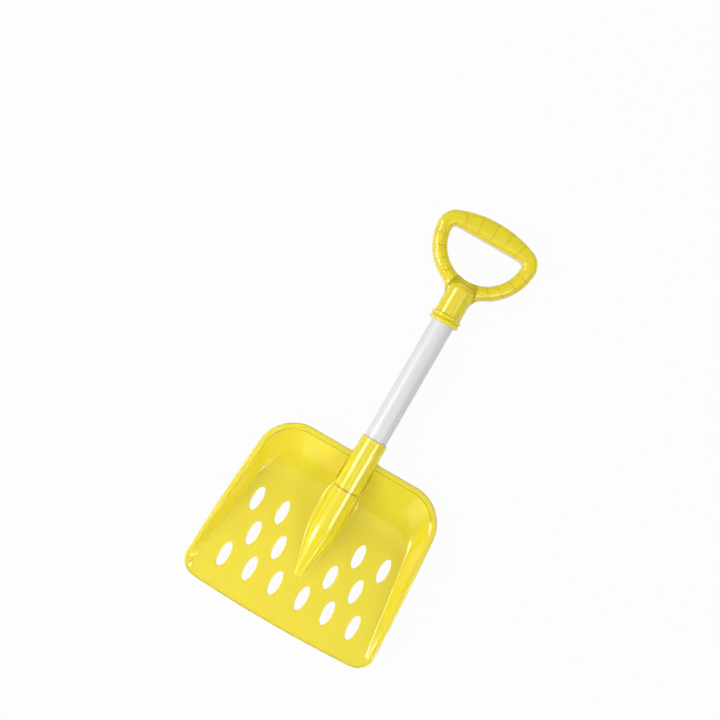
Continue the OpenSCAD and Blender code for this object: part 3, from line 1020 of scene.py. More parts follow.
    def groove(self) -> Shell:
        """Cutter for the groove round the sleeve's inner end: a bar bent over the nose in an arc.

        Returns:
            The cutter, marked with painted shade for the groove's faces.
        """
        turn = np.radians(np.linspace(*self.groove_turn, self.groove_steps))[:, None]
        low, high = self.nose_r - self.end_groove_depth, self.sleeve_od / 2 + self.groove_clear
        near, far = self.groove_overlap, -self.end_groove
        y = self.layout.sleeve_end_y + self.end_setback + np.array([far, far, near, near])
        bar = Shell.tube(self.layout.around(np.array([low, high, high, low]), y, turn))
        # Painted shade: the groove's faces take the darker shade colour.
        bar.marks[Mark.LINE] = np.ones(len(bar.points))
        return bar

    def slots(self) -> Shell:
        """Cutters for the drain slots, in staggered rows that leave room for the nose.

        Each is an ellipse carried down through the floor. Near the upper face its half axes grow by a
        quarter circle's share of the edge radius, measured from the sloping floor itself.

        Returns:
            All the cutters as one shell.
        """
        turn = 2 * math.pi * np.arange(self.slot_steps) / self.slot_steps
        r = self.slot_edge_r
        edge = np.radians(self.slot_edge_turns)
        depth = np.concatenate([[-self.slot_reach * self.wall, -self.wall], r * np.sin(edge) - r, [r]])
        grow = np.concatenate([[0, 0], r * (1 - np.cos(edge)), [2 * r]])
        tubes = []
        for row, places in enumerate(self.slot_rows):
            middle = self.layout.front_y + self.slot_front_margin + row * self.slot_row_pitch
            for place in places:
                for side in (-1, 1):
                    centre = side * (place * self.slot_pitch + self.slot_centre_gap / 2)
                    x = centre + (self.slot_width / 2 + grow[:, None]) * np.cos(turn)
                    y = middle + (self.slot_length / 2 + grow[:, None]) * np.sin(turn)
                    v = self.layout.rim_y - y
                    v = v + self.bow(x, v)
                    tubes.append(Shell.tube(np.stack([x, y, self.floor_z(v) + depth[:, None]], -1)))
        return Shell.together(tubes)

    def build(self, material: bpy.types.Material) -> bpy.types.Object:
        """Makes the scoop in the place of its CAD node.

        Args:
            material: the yellow plastic.

        Returns:
            The finished piece.
        """
        piece = self.pan().to_object("scoop_moulding")
        carve(piece, self.sleeve(), Cut.JOIN)
        socket = self.layout.bore(self.layout.sleeve_mouth_y, self.layout.stop_y)
        for tool in (socket, self.groove(), self.slots(), self.screw.hole()):
            carve(piece, tool, Cut.REMOVE)
        finish_piece(piece, Slot.YELLOW, material, "scoop")
        return piece


@dataclass
class Grip:
    """The D-shaped grip: a ribbed channel round the hand opening, and a sleeve with a beaded collar."""

    layout: Layout
    screw: Screw
    # Loop and hand opening
    outer_r: float = 57.2
    opening_r: float = 41.1
    bar_depth: float = 22.9
    opening_height: float = 44.6
    crown_r: float = 120.0
    outer_corner_r: float = 20.0
    opening_corner_r: float = 4.5
    centre_drop: float = 2.4
    shoulder_r: float = 18.0
    shoulder_lead: float = 2.0
    root_spread: float = 12.0
    loop_steps: tuple[int, ...] = (110, 48, 150, 40, 12)
    # Section of the loop
    thickness: float = 16.0
    skin: float = 2.4
    bar_squareness: float = 3.4
    arm_squareness: float = 2.0
    lip_r: float = 0.5
    lip_curve: float = 0.3
    side_places: tuple[float, float] = (0.7, 0.35)
    crown_steps: int = 40
    # Ribs and the sink lines over them, darker partly from the rib showing through and partly from
    # painted shade
    rib_thickness: float = 1.4
    rib_pitch: float = 14.2
    arm_rib_pitch: float = 13.2
    arm_rib_start: float = 9.5
    rib_inset: float = 1.0
    rib_steps: int = 24
    sink_depth: float = 0.22
    sink_reach: float = 1.1
    rib_tone_and_shade: float = 0.45
    # Sunk place beside the closed end of the sleeve, with painted shade in it
    pocket_depth: float = 2.2
    pocket_start: float = 0.5
    pocket_run: float = 0.12
    pocket_middle: float = 0.3
    pocket_shade: float = 0.5
    # Sleeve and collar
    sleeve_od: float = 29.2
    bead_pitch: float = 5.0
    bead_r: float = 2.3
    sleeve_margin: float = 6.0
    sleeve_end_r: float = 7.0
    end_wall: float = 4.0

    @property
    def closed_end_y(self) -> float:
        """Closed end of the sleeve, just below the hand opening."""
        return self.layout.top_y - self.bar_depth - self.opening_height - self.sleeve_margin

    @property
    def stop_y(self) -> float:
        """Stop of the pipe in the grip."""
        return self.closed_end_y - self.end_wall

    def __post_init__(self) -> None:
        """Works out the circles of the loop's outline, each of which touches its neighbours."""
        self.outer_centre = np.array([0.0, self.bar_depth + self.centre_drop])
        self.opening_centre = np.array([0.0, self.bar_depth + self.opening_height - self.opening_r])
        self.crown_centre = np.array([0.0, self.crown_r])
        near, far = self.outer_r - self.outer_corner_r, self.crown_r - self.outer_corner_r
        gap = self.crown_centre[1] - self.outer_centre[1]
        t = (near**2 - far**2 + gap**2) / (2 * gap)
        self.outer_corner = np.array([math.sqrt(near**2 - t**2), self.outer_centre[1] + t])
        t = self.bar_depth + self.opening_corner_r - self.opening_centre[1]
        reach = self.opening_r - self.opening_corner_r
        self.opening_corner = np.array([math.sqrt(reach**2 - t**2), self.opening_centre[1] + t])
        x, reach = self.sleeve_od / 2 + self.shoulder_r, self.outer_r + self.shoulder_r
        self.shoulder_centre = np.array([x, self.outer_centre[1] + math.sqrt(reach**2 - x**2)])
        self.crown_end = self.bearing(self.crown_centre, self.outer_corner)
        self.outer_end = self.bearing(self.outer_centre, self.outer_corner)
        self.opening_end = self.bearing(self.opening_centre, self.opening_corner)
        self.shoulder_end = self.bearing(self.outer_centre, self.shoulder_centre)

    @staticmethod
    def bearing(start: np.ndarray, end: np.ndarray) -> float:
        """Bearing from one point of the plan to another, in degrees."""
        return math.degrees(math.atan2(end[1] - start[1], end[0] - start[0]))

    def bar_edges(self, s: np.ndarray) -> np.ndarray:
        """Inner and outer edge along the bar: a straight line and the crown's arc.

        Args:
            s: places along it, from 0 to 1.

        Returns:
            Inner and outer edge at each place.
        """
        inner = np.stack([self.opening_corner[0] * s, np.full_like(s, self.bar_depth)], -1)
        return np.stack([inner, polar(self.crown_centre, self.crown_r, mix(-90, self.crown_end, s))], 1)

    def corner_edges(self, s: np.ndarray) -> np.ndarray:
        """Inner and outer edge round a corner, on their own arcs.

        Args:
            s: places along it, from 0 to 1.

        Returns:
            Inner and outer edge at each place.
        """
        inner = polar(self.opening_corner, self.opening_corner_r, mix(-90, self.opening_end, s))
        outer = polar(self.outer_corner, self.outer_corner_r, mix(self.crown_end, self.outer_end, s))
        return np.stack([inner, outer], 1)

    def arm_edges(self, s: np.ndarray) -> np.ndarray:
        """Inner and outer edge along an arm, on the opening's circle and the outer circle.

        Args:
            s: places along it, from 0 to 1.

        Returns:
            Inner and outer edge at each place.
        """
        lead = self.shoulder_end + self.shoulder_lead
        inner = polar(self.opening_centre, self.opening_r, mix(self.opening_end, lead, s))
        outer = polar(self.outer_centre, self.outer_r, mix(self.outer_end, self.shoulder_end, s))
        return np.stack([inner, outer], 1)

    def shoulder_edges(self, s: np.ndarray) -> np.ndarray:
        """Inner and outer edge down the shoulder's fillet to the sleeve.

        Args:
            s: places along it, from 0 to 1.

        Returns:
            Inner and outer edge at each place.
        """
        lead, root = self.shoulder_end + self.shoulder_lead, 90 - self.root_spread
        inner = polar(self.opening_centre, self.opening_r, mix(lead, root, s))
        outer = polar(self.shoulder_centre, self.shoulder_r, mix(self.shoulder_end - 180, -180, s))
        return np.stack([inner, outer], 1)

    def root_edges(self, s: np.ndarray) -> np.ndarray:
        """Inner and outer edge across the sleeve to the middle.

        Args:
            s: places along it, from 0 to 1.

        Returns:
            Inner and outer edge at each place.
        """
        inner = polar(self.opening_centre, self.opening_r, mix(90 - self.root_spread, 90, s))
        outer = np.stack(
            [mix(self.sleeve_od / 2, 0, s), np.full_like(s, self.shoulder_centre[1])], -1
        )
        return np.stack([inner, outer], 1)

    def rib_edges(self) -> np.ndarray:
        """Edges of the loop where its stiffening ribs stand, on one half.

        Returns:
            Inner and outer edge of each rib, in even steps along the bar and then along the arm.
        """
        bar = np.arange(0, self.opening_corner[0], self.rib_pitch) / self.opening_corner[0]
        turn = math.radians(self.shoulder_end - self.outer_end)
        length = (self.outer_r + self.opening_r) / 2 * turn
        arm = np.arange(self.arm_rib_start, length, self.arm_rib_pitch) / length
        return np.concatenate([self.bar_edges(bar), self.arm_edges(arm)])

    def loop_edges(self) -> tuple[np.ndarray, np.ndarray]:
        """Stations round the whole loop.

        Returns:
            The inner and outer edge at each station, and how far each is sunk beside the sleeve's
            closed end, from 0 to 1.
        """
        stretches = (
            self.bar_edges, self.corner_edges, self.arm_edges, self.shoulder_edges, self.root_edges,
        )
        places = [np.arange(count) / count for count in self.loop_steps]
        places[-1] = np.append(places[-1], 1.0)
        half = np.concatenate([edges(s) for edges, s in zip(stretches, places)])
        *level, shoulder, root = places
        sunk = np.concatenate(
            [
                0 * np.concatenate(level),
                ease((shoulder - self.pocket_start) / self.pocket_run),
                np.ones_like(root),
            ]
        )
        return np.concatenate([half, (half * FLIP)[-2:0:-1]]), np.concatenate([sunk, sunk[-2:0:-1]])

    @staticmethod
    def half_span(edges: np.ndarray) -> np.ndarray:
        """Half the distance between the two edges at each station."""
        return np.linalg.norm(edges[:, 1] - edges[:, 0], axis=1) / 2

    def outwards(self, edges: np.ndarray) -> np.ndarray:
        """Direction from the inner to the outer edge at each station."""
        return (edges[:, 1] - edges[:, 0]) / (2 * self.half_span(edges)[:, None])

    def squareness(self, edges: np.ndarray) -> np.ndarray:
        """How square the section is: flat on top along the bar, and rounder down the arms."""
        down = ease((edges.mean(1)[:, 1] - self.bar_depth / 2) / self.bar_depth)
        return mix(self.bar_squareness, self.arm_squareness, down)

    def crowned(
        self, half: np.ndarray, square: np.ndarray, rise: np.ndarray, lip: float, steps: int
    ) -> np.ndarray:
        """Sections with a crowned front on straight sides, as [across, up] about the middle.

        The front is half a superellipse: each half axis times the cosine or sine to the power of two
        over the squareness. The sides run down to a rounded lip at the open back.

        Args:
            half: half the width of each section.
            square: squareness of each section.
            rise: height of each section's crown above the middle.
            lip: how far the lip's rounding reaches in, towards the other side of the skin.
            steps: number of steps over the crown.

        Returns:
            Points indexed by section, place and axis.
        """
        power = 2 / square[:, None]
        a = math.pi * (1 - np.arange(steps + 1) / steps)
        crown_x = np.sign(np.cos(a)) * np.abs(np.cos(a)) ** power
        crown_z = rise[:, None] * np.abs(np.sin(a)) ** power
        back = -self.thickness / 2
        curve, round_r = self.lip_curve, abs(lip)
        side_z = np.array([0.0, curve * round_r, round_r, 0.0, 0.0])
        side_z += back * np.array([1.0, 1.0, 1.0, *self.side_places])
        side_x = np.array([lip, curve * lip, 0.0, 0.0, 0.0]) - half[:, None]
        left = np.stack([side_x, side_z + 0 * side_x], -1)
        right = left[:, ::-1] * FLIP
        crown = np.stack([half[:, None] * crown_x, crown_z], -1)
        return np.concatenate([left, crown, right], 1)

    def placed(self, edges: np.ndarray, section: np.ndarray) -> np.ndarray:
        """Sets sections across the loop, each from its inner to its outer edge.

        Args:
            edges: inner and outer edge of each station.
            section: points [across, up] of each station.

        Returns:
            Points in the shovel's frame, indexed by station, place and axis.
        """
        plan = edges.mean(1)[:, None] + self.outwards(edges)[:, None] * section[..., :1]
        return np.stack(
            [plan[..., 0], self.layout.top_y - plan[..., 1], self.layout.axis_z + section[..., 1]], -1
        )

    def loop(self) -> Shell:
        """The channel round the hand opening, with a faint sink line over each rib.

        Sections of the outer and the inner skin are carried round the loop. Over a rib the crown
        sinks by a soft hump of the distance along the loop.

        Returns:
            The loop as a closed hoop.
        """
        edges, sunk = self.loop_edges()
        half, square = self.half_span(edges), self.squareness(edges)
        rise, lip, steps = self.thickness / 2 - self.pocket_depth * sunk, self.lip_r, self.crown_steps
        outer = self.crowned(half, square, rise, lip, steps)
        inner = self.crowned(half - self.skin, square, rise - self.skin, -lip, steps // 2)
        middle = edges.mean(1)
        ribs = self.rib_edges().mean(1)
        ribs = np.concatenate([ribs, ribs * FLIP])
        gap = np.linalg.norm(middle[:, None] - ribs[None], axis=2).min(1)
        sink = bump(gap, self.sink_reach)[:, None] * np.clip(outer[..., 1] / (self.thickness / 2), 0, 1)
        outer[..., 1] -= self.sink_depth * sink
        section = np.concatenate([outer, inner[:, ::-1]], 1)
        shell = Shell.tube(self.placed(edges, section), closed=True)
        line = np.concatenate([sink, np.zeros(inner.shape[:2])], 1)
        beside = mix(self.pocket_middle, 1.0, ease(np.abs(middle[:, :1]) / self.layout.bore_r))
        # Painted shade: darker in each rib's sink line, where the rib also shows through, and in the
        # pocket, stronger towards its sides.
        shade = np.maximum(self.rib_tone_and_shade * line, self.pocket_shade * sunk[:, None] * beside)
        shell.marks[Mark.LINE] = shade.ravel()
        return shell

    def ribs(self) -> Shell:
        """Stiffening ribs across the open back: the inner section, cut level and made a thin plate.

        Returns:
            All the plates as one shell, each sunk a little into the skin.
        """
        edges = np.concatenate([self.rib_edges(), self.corner_edges(np.array([0.5]))])
        edges = np.concatenate([edges, (edges * FLIP)[1:]])
        bite = self.skin / 3
        half = self.half_span(edges) - self.skin + bite
        rise = np.full(len(half), self.thickness / 2 - self.skin + bite)
        lip_points = 3
        section = self.crowned(half, self.squareness(edges), rise, 0.0, self.rib_steps)
        section = section[:, lip_points:-lip_points]
        section[:, 0, 1] = section[:, -1, 1] = self.rib_inset - self.thickness / 2
        flat, out = self.placed(edges, section), self.outwards(edges)
        along = np.stack([out[:, 1], out[:, 0], 0 * out[:, 0]], -1)[:, None] * self.rib_thickness / 2
        plates = np.stack([flat - along, flat + along], 1)
        return Shell.together([Shell.tube(plate) for plate in plates])

    def sleeve(self) -> Shell:
        """The sleeve: two round beads at its mouth, a straight run and a rounded closed end.

        Returns:
            The sleeve without its socket.
        """
        radius, mouth, end = self.sleeve_od / 2, self.layout.collar_mouth_y, self.closed_end_y
        bead_centre = self.layout.collar_od / 2 - self.bead_r
        limit = math.degrees(math.acos((radius - bead_centre) / self.bead_r))
        bead = arc([bead_centre, mouth + self.bead_r], self.bead_r, -limit, limit, steps=18)
        end_r, cap_r = self.sleeve_end_r, radius / 3
        closed = arc([radius - end_r, end - end_r], end_r, 0, 90, steps=14)
        parts = [[[radius, mouth]], bead, bead + [0, self.bead_pitch], closed, [[cap_r, end]]]
        return self.layout.lathe(np.concatenate(parts))

    def build(self, material: bpy.types.Material) -> bpy.types.Object:
        """Makes the grip in the place of its CAD node.

        Args:
            material: the yellow plastic.

        Returns:
            The finished piece.
        """
        piece = self.loop().to_object("d_grip_moulding")
        carve(piece, self.ribs(), Cut.JOIN)
        carve(piece, self.sleeve(), Cut.JOIN)
        carve(piece, self.layout.bore(self.layout.collar_mouth_y, self.stop_y), Cut.REMOVE)
        carve(piece, self.screw.hole(), Cut.REMOVE)
        finish_piece(piece, Slot.YELLOW, material, "d_grip")
        return piece


@dataclass
class Shaft:
    """The extruded pipe between the two sockets."""

    layout: Layout
    stop_y: float
    screws: tuple[Screw, Screw]
    wall: float = 1.6
    chamfer: float = 0.3
    rows: int = 24

    def build(self, material: bpy.types.Material) -> bpy.types.Object:
        """Makes the pipe: a closed profile of its wall, with chamfered ends, turned round its axis.

        Args:
            material: the white plastic.

        Returns:
            The finished piece.
        """
        outer, c = self.layout.shaft_od / 2, self.chamfer
        inner = outer - self.wall
        start = self.layout.stop_y + self.layout.end_clearance
        end = self.stop_y - self.layout.end_clearance
        along = np.linspace(start + c, end - c, self.rows)
        profile = np.concatenate(
            [
                [[outer - c, start]],
                np.stack([np.full_like(along, outer), along], -1),
                [[outer - c, end], [inner + c, end]],
                np.stack([np.full_like(along, inner), along[::-1]], -1),
                [[inner + c, start]],
            ]
        )
        piece = self.layout.lathe(profile, closed=True).to_object("shaft_tube_extrusion")
        for screw in self.screws:
            carve(piece, screw.pipe_hole(), Cut.REMOVE)
        finish_piece(piece, Slot.PIPE, material, "shaft_tube")
        return piece


class Board:
    """A short way to place and link the nodes of one tree."""

    def __init__(self, tree: bpy.types.NodeTree) -> None:
        """Takes the tree that the nodes go into."""
        self.tree = tree

    def add(self, kind: str, inputs: Inputs | None = None, **settings: object) -> bpy.types.Node:
        """Places a node.

        Args:
            kind: type of the node.
            inputs: values or sockets for its inputs, by name or number.
            settings: properties of the node.

        Returns:
            The new node.
        """
        node = self.tree.nodes.new(kind)
        for name, value in settings.items():
            setattr(node, name, value)
        self.feed(node, inputs or {})
        return node

    def feed(self, node: bpy.types.Node, inputs: Inputs) -> None:
        """Sets inputs of a node, each to a value or to what another node's socket puts out.

        Args:
            node: the node.
            inputs: values or sockets, by the input's name or number.
        """
        for name, value in inputs.items():
            if isinstance(value, bpy.types.NodeSocket):
                self.tree.links.new(value, node.inputs[name])
            else:
                node.inputs[name].default_value = value

    def math(self, kind: str, first: Socket, second: Socket | float = 0.0) -> Socket:
        """A sum, product or other operation on two values."""
        return self.add("ShaderNodeMath", {0: first, 1: second}, operation=kind).outputs[0]

    def blend(self, share: Socket, first: Socket | Colour, second: Colour) -> Socket:
        """A colour between two.

        Args:
            share: share of the second colour, from 0 to 1.
            first: a colour, or the socket of one.
            second: a colour.

        Returns:
            The blend's socket.
        """
        node = self.add("ShaderNodeMix", {"Factor": share}, data_type="RGBA")
        numbers = [n for n, socket in enumerate(node.inputs) if socket.type == "RGBA"]
        start = first if isinstance(first, bpy.types.NodeSocket) else (*first, 1.0)
        self.feed(node, dict(zip(numbers, (start, (*second, 1.0)))))
        return next(socket for socket in node.outputs if socket.type == "RGBA")

    def spread(self, value: Socket, low: float, high: float) -> Socket:
        """A value from 0 to 1 laid out between two others."""
        node = self.add("ShaderNodeMapRange", {"Value": value, "To Min": low, "To Max": high})
        return node.outputs["Result"]

    def relief(self, height: Socket, distance: float) -> Socket:
        """The normal of a surface with a relief, whose height from 0 to 1 stands for that distance."""
        node = self.add("ShaderNodeBump", {"Strength": 1.0, "Distance": distance, "Height": height})
        return node.outputs["Normal"]

    def between(self, share: Socket, first: bpy.types.Node, second: bpy.types.Node) -> bpy.types.Node:
        """A shader between those of two nodes."""
        inputs = {0: share, 1: first.outputs[0], 2: second.outputs[0]}
        return self.add("ShaderNodeMixShader", inputs)


def open_material(name: str) -> tuple[bpy.types.Material, Board, bpy.types.Node]:
    """Makes a material.

    Args:
        name: name of the material.

    Returns:
        The material, a board for its nodes, and its shader.
    """
    made = bpy.data.materials.new(name)
    made.use_nodes = True
    return made, Board(made.node_tree), made.node_tree.nodes["Principled BSDF"]


class SurfaceGroups:
    """Node groups that more than one material can use, each built once."""

    noise_roughness: float = 0.5
    ripple_detail: float = 3.0
    mottle_detail: float = 2.0
    patch_detail: float = 5.0
    patch_roughness: float = 0.65
    patch_range: tuple[float, float] = (0.42, 0.72)

    def __init__(self) -> None:
        """Builds the groups."""
        self.grain = self.make_grain()
        self.scuff = self.make_scuff()

    @staticmethod
    def open_group(
        name: str, inputs: dict[str, str], outputs: tuple[str, ...]
    ) -> tuple[bpy.types.NodeTree, bpy.types.Node, bpy.types.Node]:
        """Makes an empty group.

        Args:
            name: name of the group.
            inputs: names and socket types of its inputs.
            outputs: names of its outputs, which are values.

        Returns:
            The group, its input node and its output node.
        """
        tree = bpy.data.node_groups.new(name, "ShaderNodeTree")
        for label, kind in inputs.items():
            tree.interface.new_socket(label, in_out="INPUT", socket_type=kind)
        for label in outputs:
            tree.interface.new_socket(label, in_out="OUTPUT", socket_type="NodeSocketFloat")
        return tree, tree.nodes.new("NodeGroupInput"), tree.nodes.new("NodeGroupOutput")

    def make_grain(self) -> bpy.types.NodeTree:
        """Surface of a moulding: a fine ripple's height, and a slow mottling, both from 0 to 1.

        Returns:
            The group, with a place and two scales, per metre, as inputs.
        """
        tree, source, sink = self.open_group(
            "mould_grain",
            {
                "Vector": "NodeSocketVector",
                "Ripple Scale": "NodeSocketFloat",
                "Mottle Scale": "NodeSocketFloat",
            },
            ("Height", "Mottle"),
        )
        board = Board(tree)
        ripple = ("Height", "Ripple Scale", self.ripple_detail)
        mottle = ("Mottle", "Mottle Scale", self.mottle_detail)
        for result, scale, detail in (ripple, mottle):
            inputs = {"Vector": source.outputs["Vector"], "Scale": source.outputs[scale]}
            inputs |= {"Detail": detail, "Roughness": self.noise_roughness}
            board.feed(sink, {result: board.add("ShaderNodeTexNoise", inputs).outputs["Fac"]})
        return tree

    def make_scuff(self) -> bpy.types.NodeTree:
        """Rubbing along free edges: the edge's value, broken up by a noise, as a mask.

        Returns:
            The group, with a place, the edge's value and a scale, per metre, as inputs.
        """
        tree, source, sink = self.open_group(
            "edge_scuff",
            {"Vector": "NodeSocketVector", "Edge": "NodeSocketFloat", "Scale": "NodeSocketFloat"},
            ("Mask",),
        )
        board = Board(tree)
        inputs = {name: source.outputs[name] for name in ("Vector", "Scale")}
        inputs |= {"Detail": self.patch_detail, "Roughness": self.patch_roughness}
        patches = board.add("ShaderNodeTexNoise", inputs).outputs["Fac"]
        low, high = self.patch_range
        inputs = {"Value": patches, "From Min": low, "From Max": high}
        contrast = board.add("ShaderNodeMapRange", inputs)
        mask = board.math("MULTIPLY", contrast.outputs["Result"], source.outputs["Edge"])
        board.feed(sink, {"Mask": mask})
        return tree


@dataclass(frozen=True)
class PlasticFinish:
    """A plastic: its colour, how far it varies, its gloss and its surface.

    Attributes:
        name: name of the material.
        colour: the colour as moulded.
        deep: the colour where the mottling is deepest.
        line: the painted shade colour, laid where shade falls in grooves, recesses and on rounded edges.
        worn: the colour where an edge is rubbed.
        roughness: least and greatest roughness.
        ripple: scale of the fine ripple, per metre.
        mottle: scale of the mottling, per metre.
        relief: height of the ripple, in metres.
        stretch: how the pattern is drawn out along Y, 1 for not at all.
        ior: how strongly it reflects.
        glow: the share of the light that goes into the plastic and out at another place.
        depth: how deep red, green and blue light go into it, in metres.
        scuffing: how many times finer the rubbing is than the mottling.
        dulling: how much rougher a rubbed edge is.
    """

    name: str
    colour: Colour
    deep: Colour
    line: Colour
    worn: Colour
    roughness: tuple[float, float]
    ripple: float
    mottle: float
    relief: float
    stretch: float = 1.0
    ior: float = 1.6
    glow: float = 0.0
    depth: Colour = (0.003, 0.003, 0.0006)
    scuffing: float = 9.0
    dulling: float = 0.2

    def material(self, groups: SurfaceGroups) -> bpy.types.Material:
        """Makes the material.

        Args:
            groups: the shared node groups.

        Returns:
            The material.
        """
        made, board, shader = open_material(self.name)
        where = board.add("ShaderNodeTexCoord").outputs["Object"]
        mapping = board.add("ShaderNodeMapping", {"Vector": where, "Scale": (1.0, self.stretch, 1.0)})
        vector = mapping.outputs["Vector"]
        scales = {"Ripple Scale": self.ripple, "Mottle Scale": self.mottle}
        grain = board.add("ShaderNodeGroup", {"Vector": vector} | scales, node_tree=groups.grain)
        edge, line = (
            board.add("ShaderNodeAttribute", attribute_name=mark.value).outputs["Fac"] for mark in Mark
        )
        rubbing = {"Vector": vector, "Edge": edge, "Scale": self.mottle * self.scuffing}
        scuff = board.add("ShaderNodeGroup", rubbing, node_tree=groups.scuff).outputs["Mask"]
        tone = board.blend(grain.outputs["Mottle"], self.colour, self.deep)
        # Painted shade: the colour darkens towards the line colour wherever the groove shade mark is set.
        tone = board.blend(line, tone, self.line)
        gloss = board.spread(grain.outputs["Mottle"], *self.roughness)
        dull = board.math("MULTIPLY", scuff, self.dulling)
        inputs = {
            "Base Color": board.blend(scuff, tone, self.worn),
            "Roughness": board.math("ADD", gloss, dull),
            "Normal": board.relief(grain.outputs["Height"], self.relief),
            "IOR": self.ior,
            "Subsurface Weight": self.glow,
            "Subsurface Radius": self.depth,
            "Subsurface Scale": 1.0,
        }
        board.feed(shader, inputs)
        return made


@dataclass(frozen=True)
class MetalFinish:
    """A plated metal: its colour, how far it varies, its gloss and its surface.

    Attributes:
        name: name of the material.
        colour: the colour of the plating.
        stain: the colour where the plating is dullest.
        roughness: least and greatest roughness.
        ripple: scale of the fine ripple, per metre.
        mottle: scale of the mottling, per metre.
        relief: height of the ripple, in metres.
    """

    name: str
    colour: Colour
    stain: Colour
    roughness: tuple[float, float]
    ripple: float
    mottle: float
    relief: float

    def material(self, groups: SurfaceGroups) -> bpy.types.Material:
        """Makes the material.

        Args:
            groups: the shared node groups.

        Returns:
            The material.
        """
        made, board, shader = open_material(self.name)
        where = board.add("ShaderNodeTexCoord").outputs["Object"]
        scales = {"Ripple Scale": self.ripple, "Mottle Scale": self.mottle}
        grain = board.add("ShaderNodeGroup", {"Vector": where} | scales, node_tree=groups.grain)
        inputs = {
            "Base Color": board.blend(grain.outputs["Mottle"], self.colour, self.stain),
            "Roughness": board.spread(grain.outputs["Mottle"], *self.roughness),
            "Normal": board.relief(grain.outputs["Height"], self.relief),
            "Metallic": 1.0,
        }
        board.feed(shader, inputs)
        return made


class Light(Enum):
    """What a softbox does, as two switches: it lights the shovel, and it shows in the gloss."""

    SOFT = (True, False)
    GLOSS = (False, True)


@dataclass(frozen=True)
class Lamp:
    """A softbox, whose light fades out towards the edges of its face; its sizes are in metres.

    Attributes:
        name: name of the lamp.
        place: where it stands.
        aim: the place that it faces.
        along: its width.
        tall: its height.
        radiance: how bright the middle of its face is, white being 1.
        light: what it does.
        fade: the shares of its half width and half height over which it fades.
        spread: the angle that a grid on its face lets through, in degrees.
    """

    name: str
    place: Place
    aim: Place
    along: float
    tall: float
    radiance: float
    light: Light = Light.GLOSS
    fade: tuple[float, float] = (0.4, 0.4)
    spread: float = 180.0

    def build(self) -> None:
        """Makes the softbox as a rectangular lamp; its power is radiance times pi times its area."""
        data = bpy.data.lights.new(self.name, "AREA")
        data.shape = "RECTANGLE"
        data.size, data.size_y = self.along, self.tall
        data.spread = math.radians(self.spread)
        data.energy = self.radiance * math.pi * self.along * self.tall
        self.soften(data)
        made = bpy.data.objects.new(self.name, data)
        made.location = self.place
        way = Vector(self.aim) - Vector(self.place)
        made.rotation_mode = "QUATERNION"
        made.rotation_quaternion = way.to_track_quat("-Z", "Y")
        made.visible_diffuse, made.visible_glossy = self.light.value
        bpy.context.scene.collection.objects.link(made)

    def soften(self, data: bpy.types.AreaLight) -> None:
        """Fades the lamp's face: 1 in its middle, and a smooth step down to 0 at its edges.

        Args:
            data: the lamp.
        """
        data.use_nodes = True
        board = Board(data.node_tree)
        place = board.add("ShaderNodeNewGeometry").outputs["Parametric"]
        parts = board.add("ShaderNodeSeparateXYZ", {0: place})
        half = 0.5
        steps = []
        for axis, fade in zip("XY", self.fade):
            off = board.math("ABSOLUTE", board.math("SUBTRACT", parts.outputs[axis], half))
            inputs = {"Value": off, "From Min": half * (1 - fade), "From Max": half}
            inputs |= {"To Min": 1.0, "To Max": 0.0}
            step = board.add("ShaderNodeMapRange", inputs, interpolation_type="SMOOTHSTEP")
            steps.append(step.outputs["Result"])
        board.feed(data.node_tree.nodes["Emission"], {"Strength": board.math("MULTIPLY", *steps)})


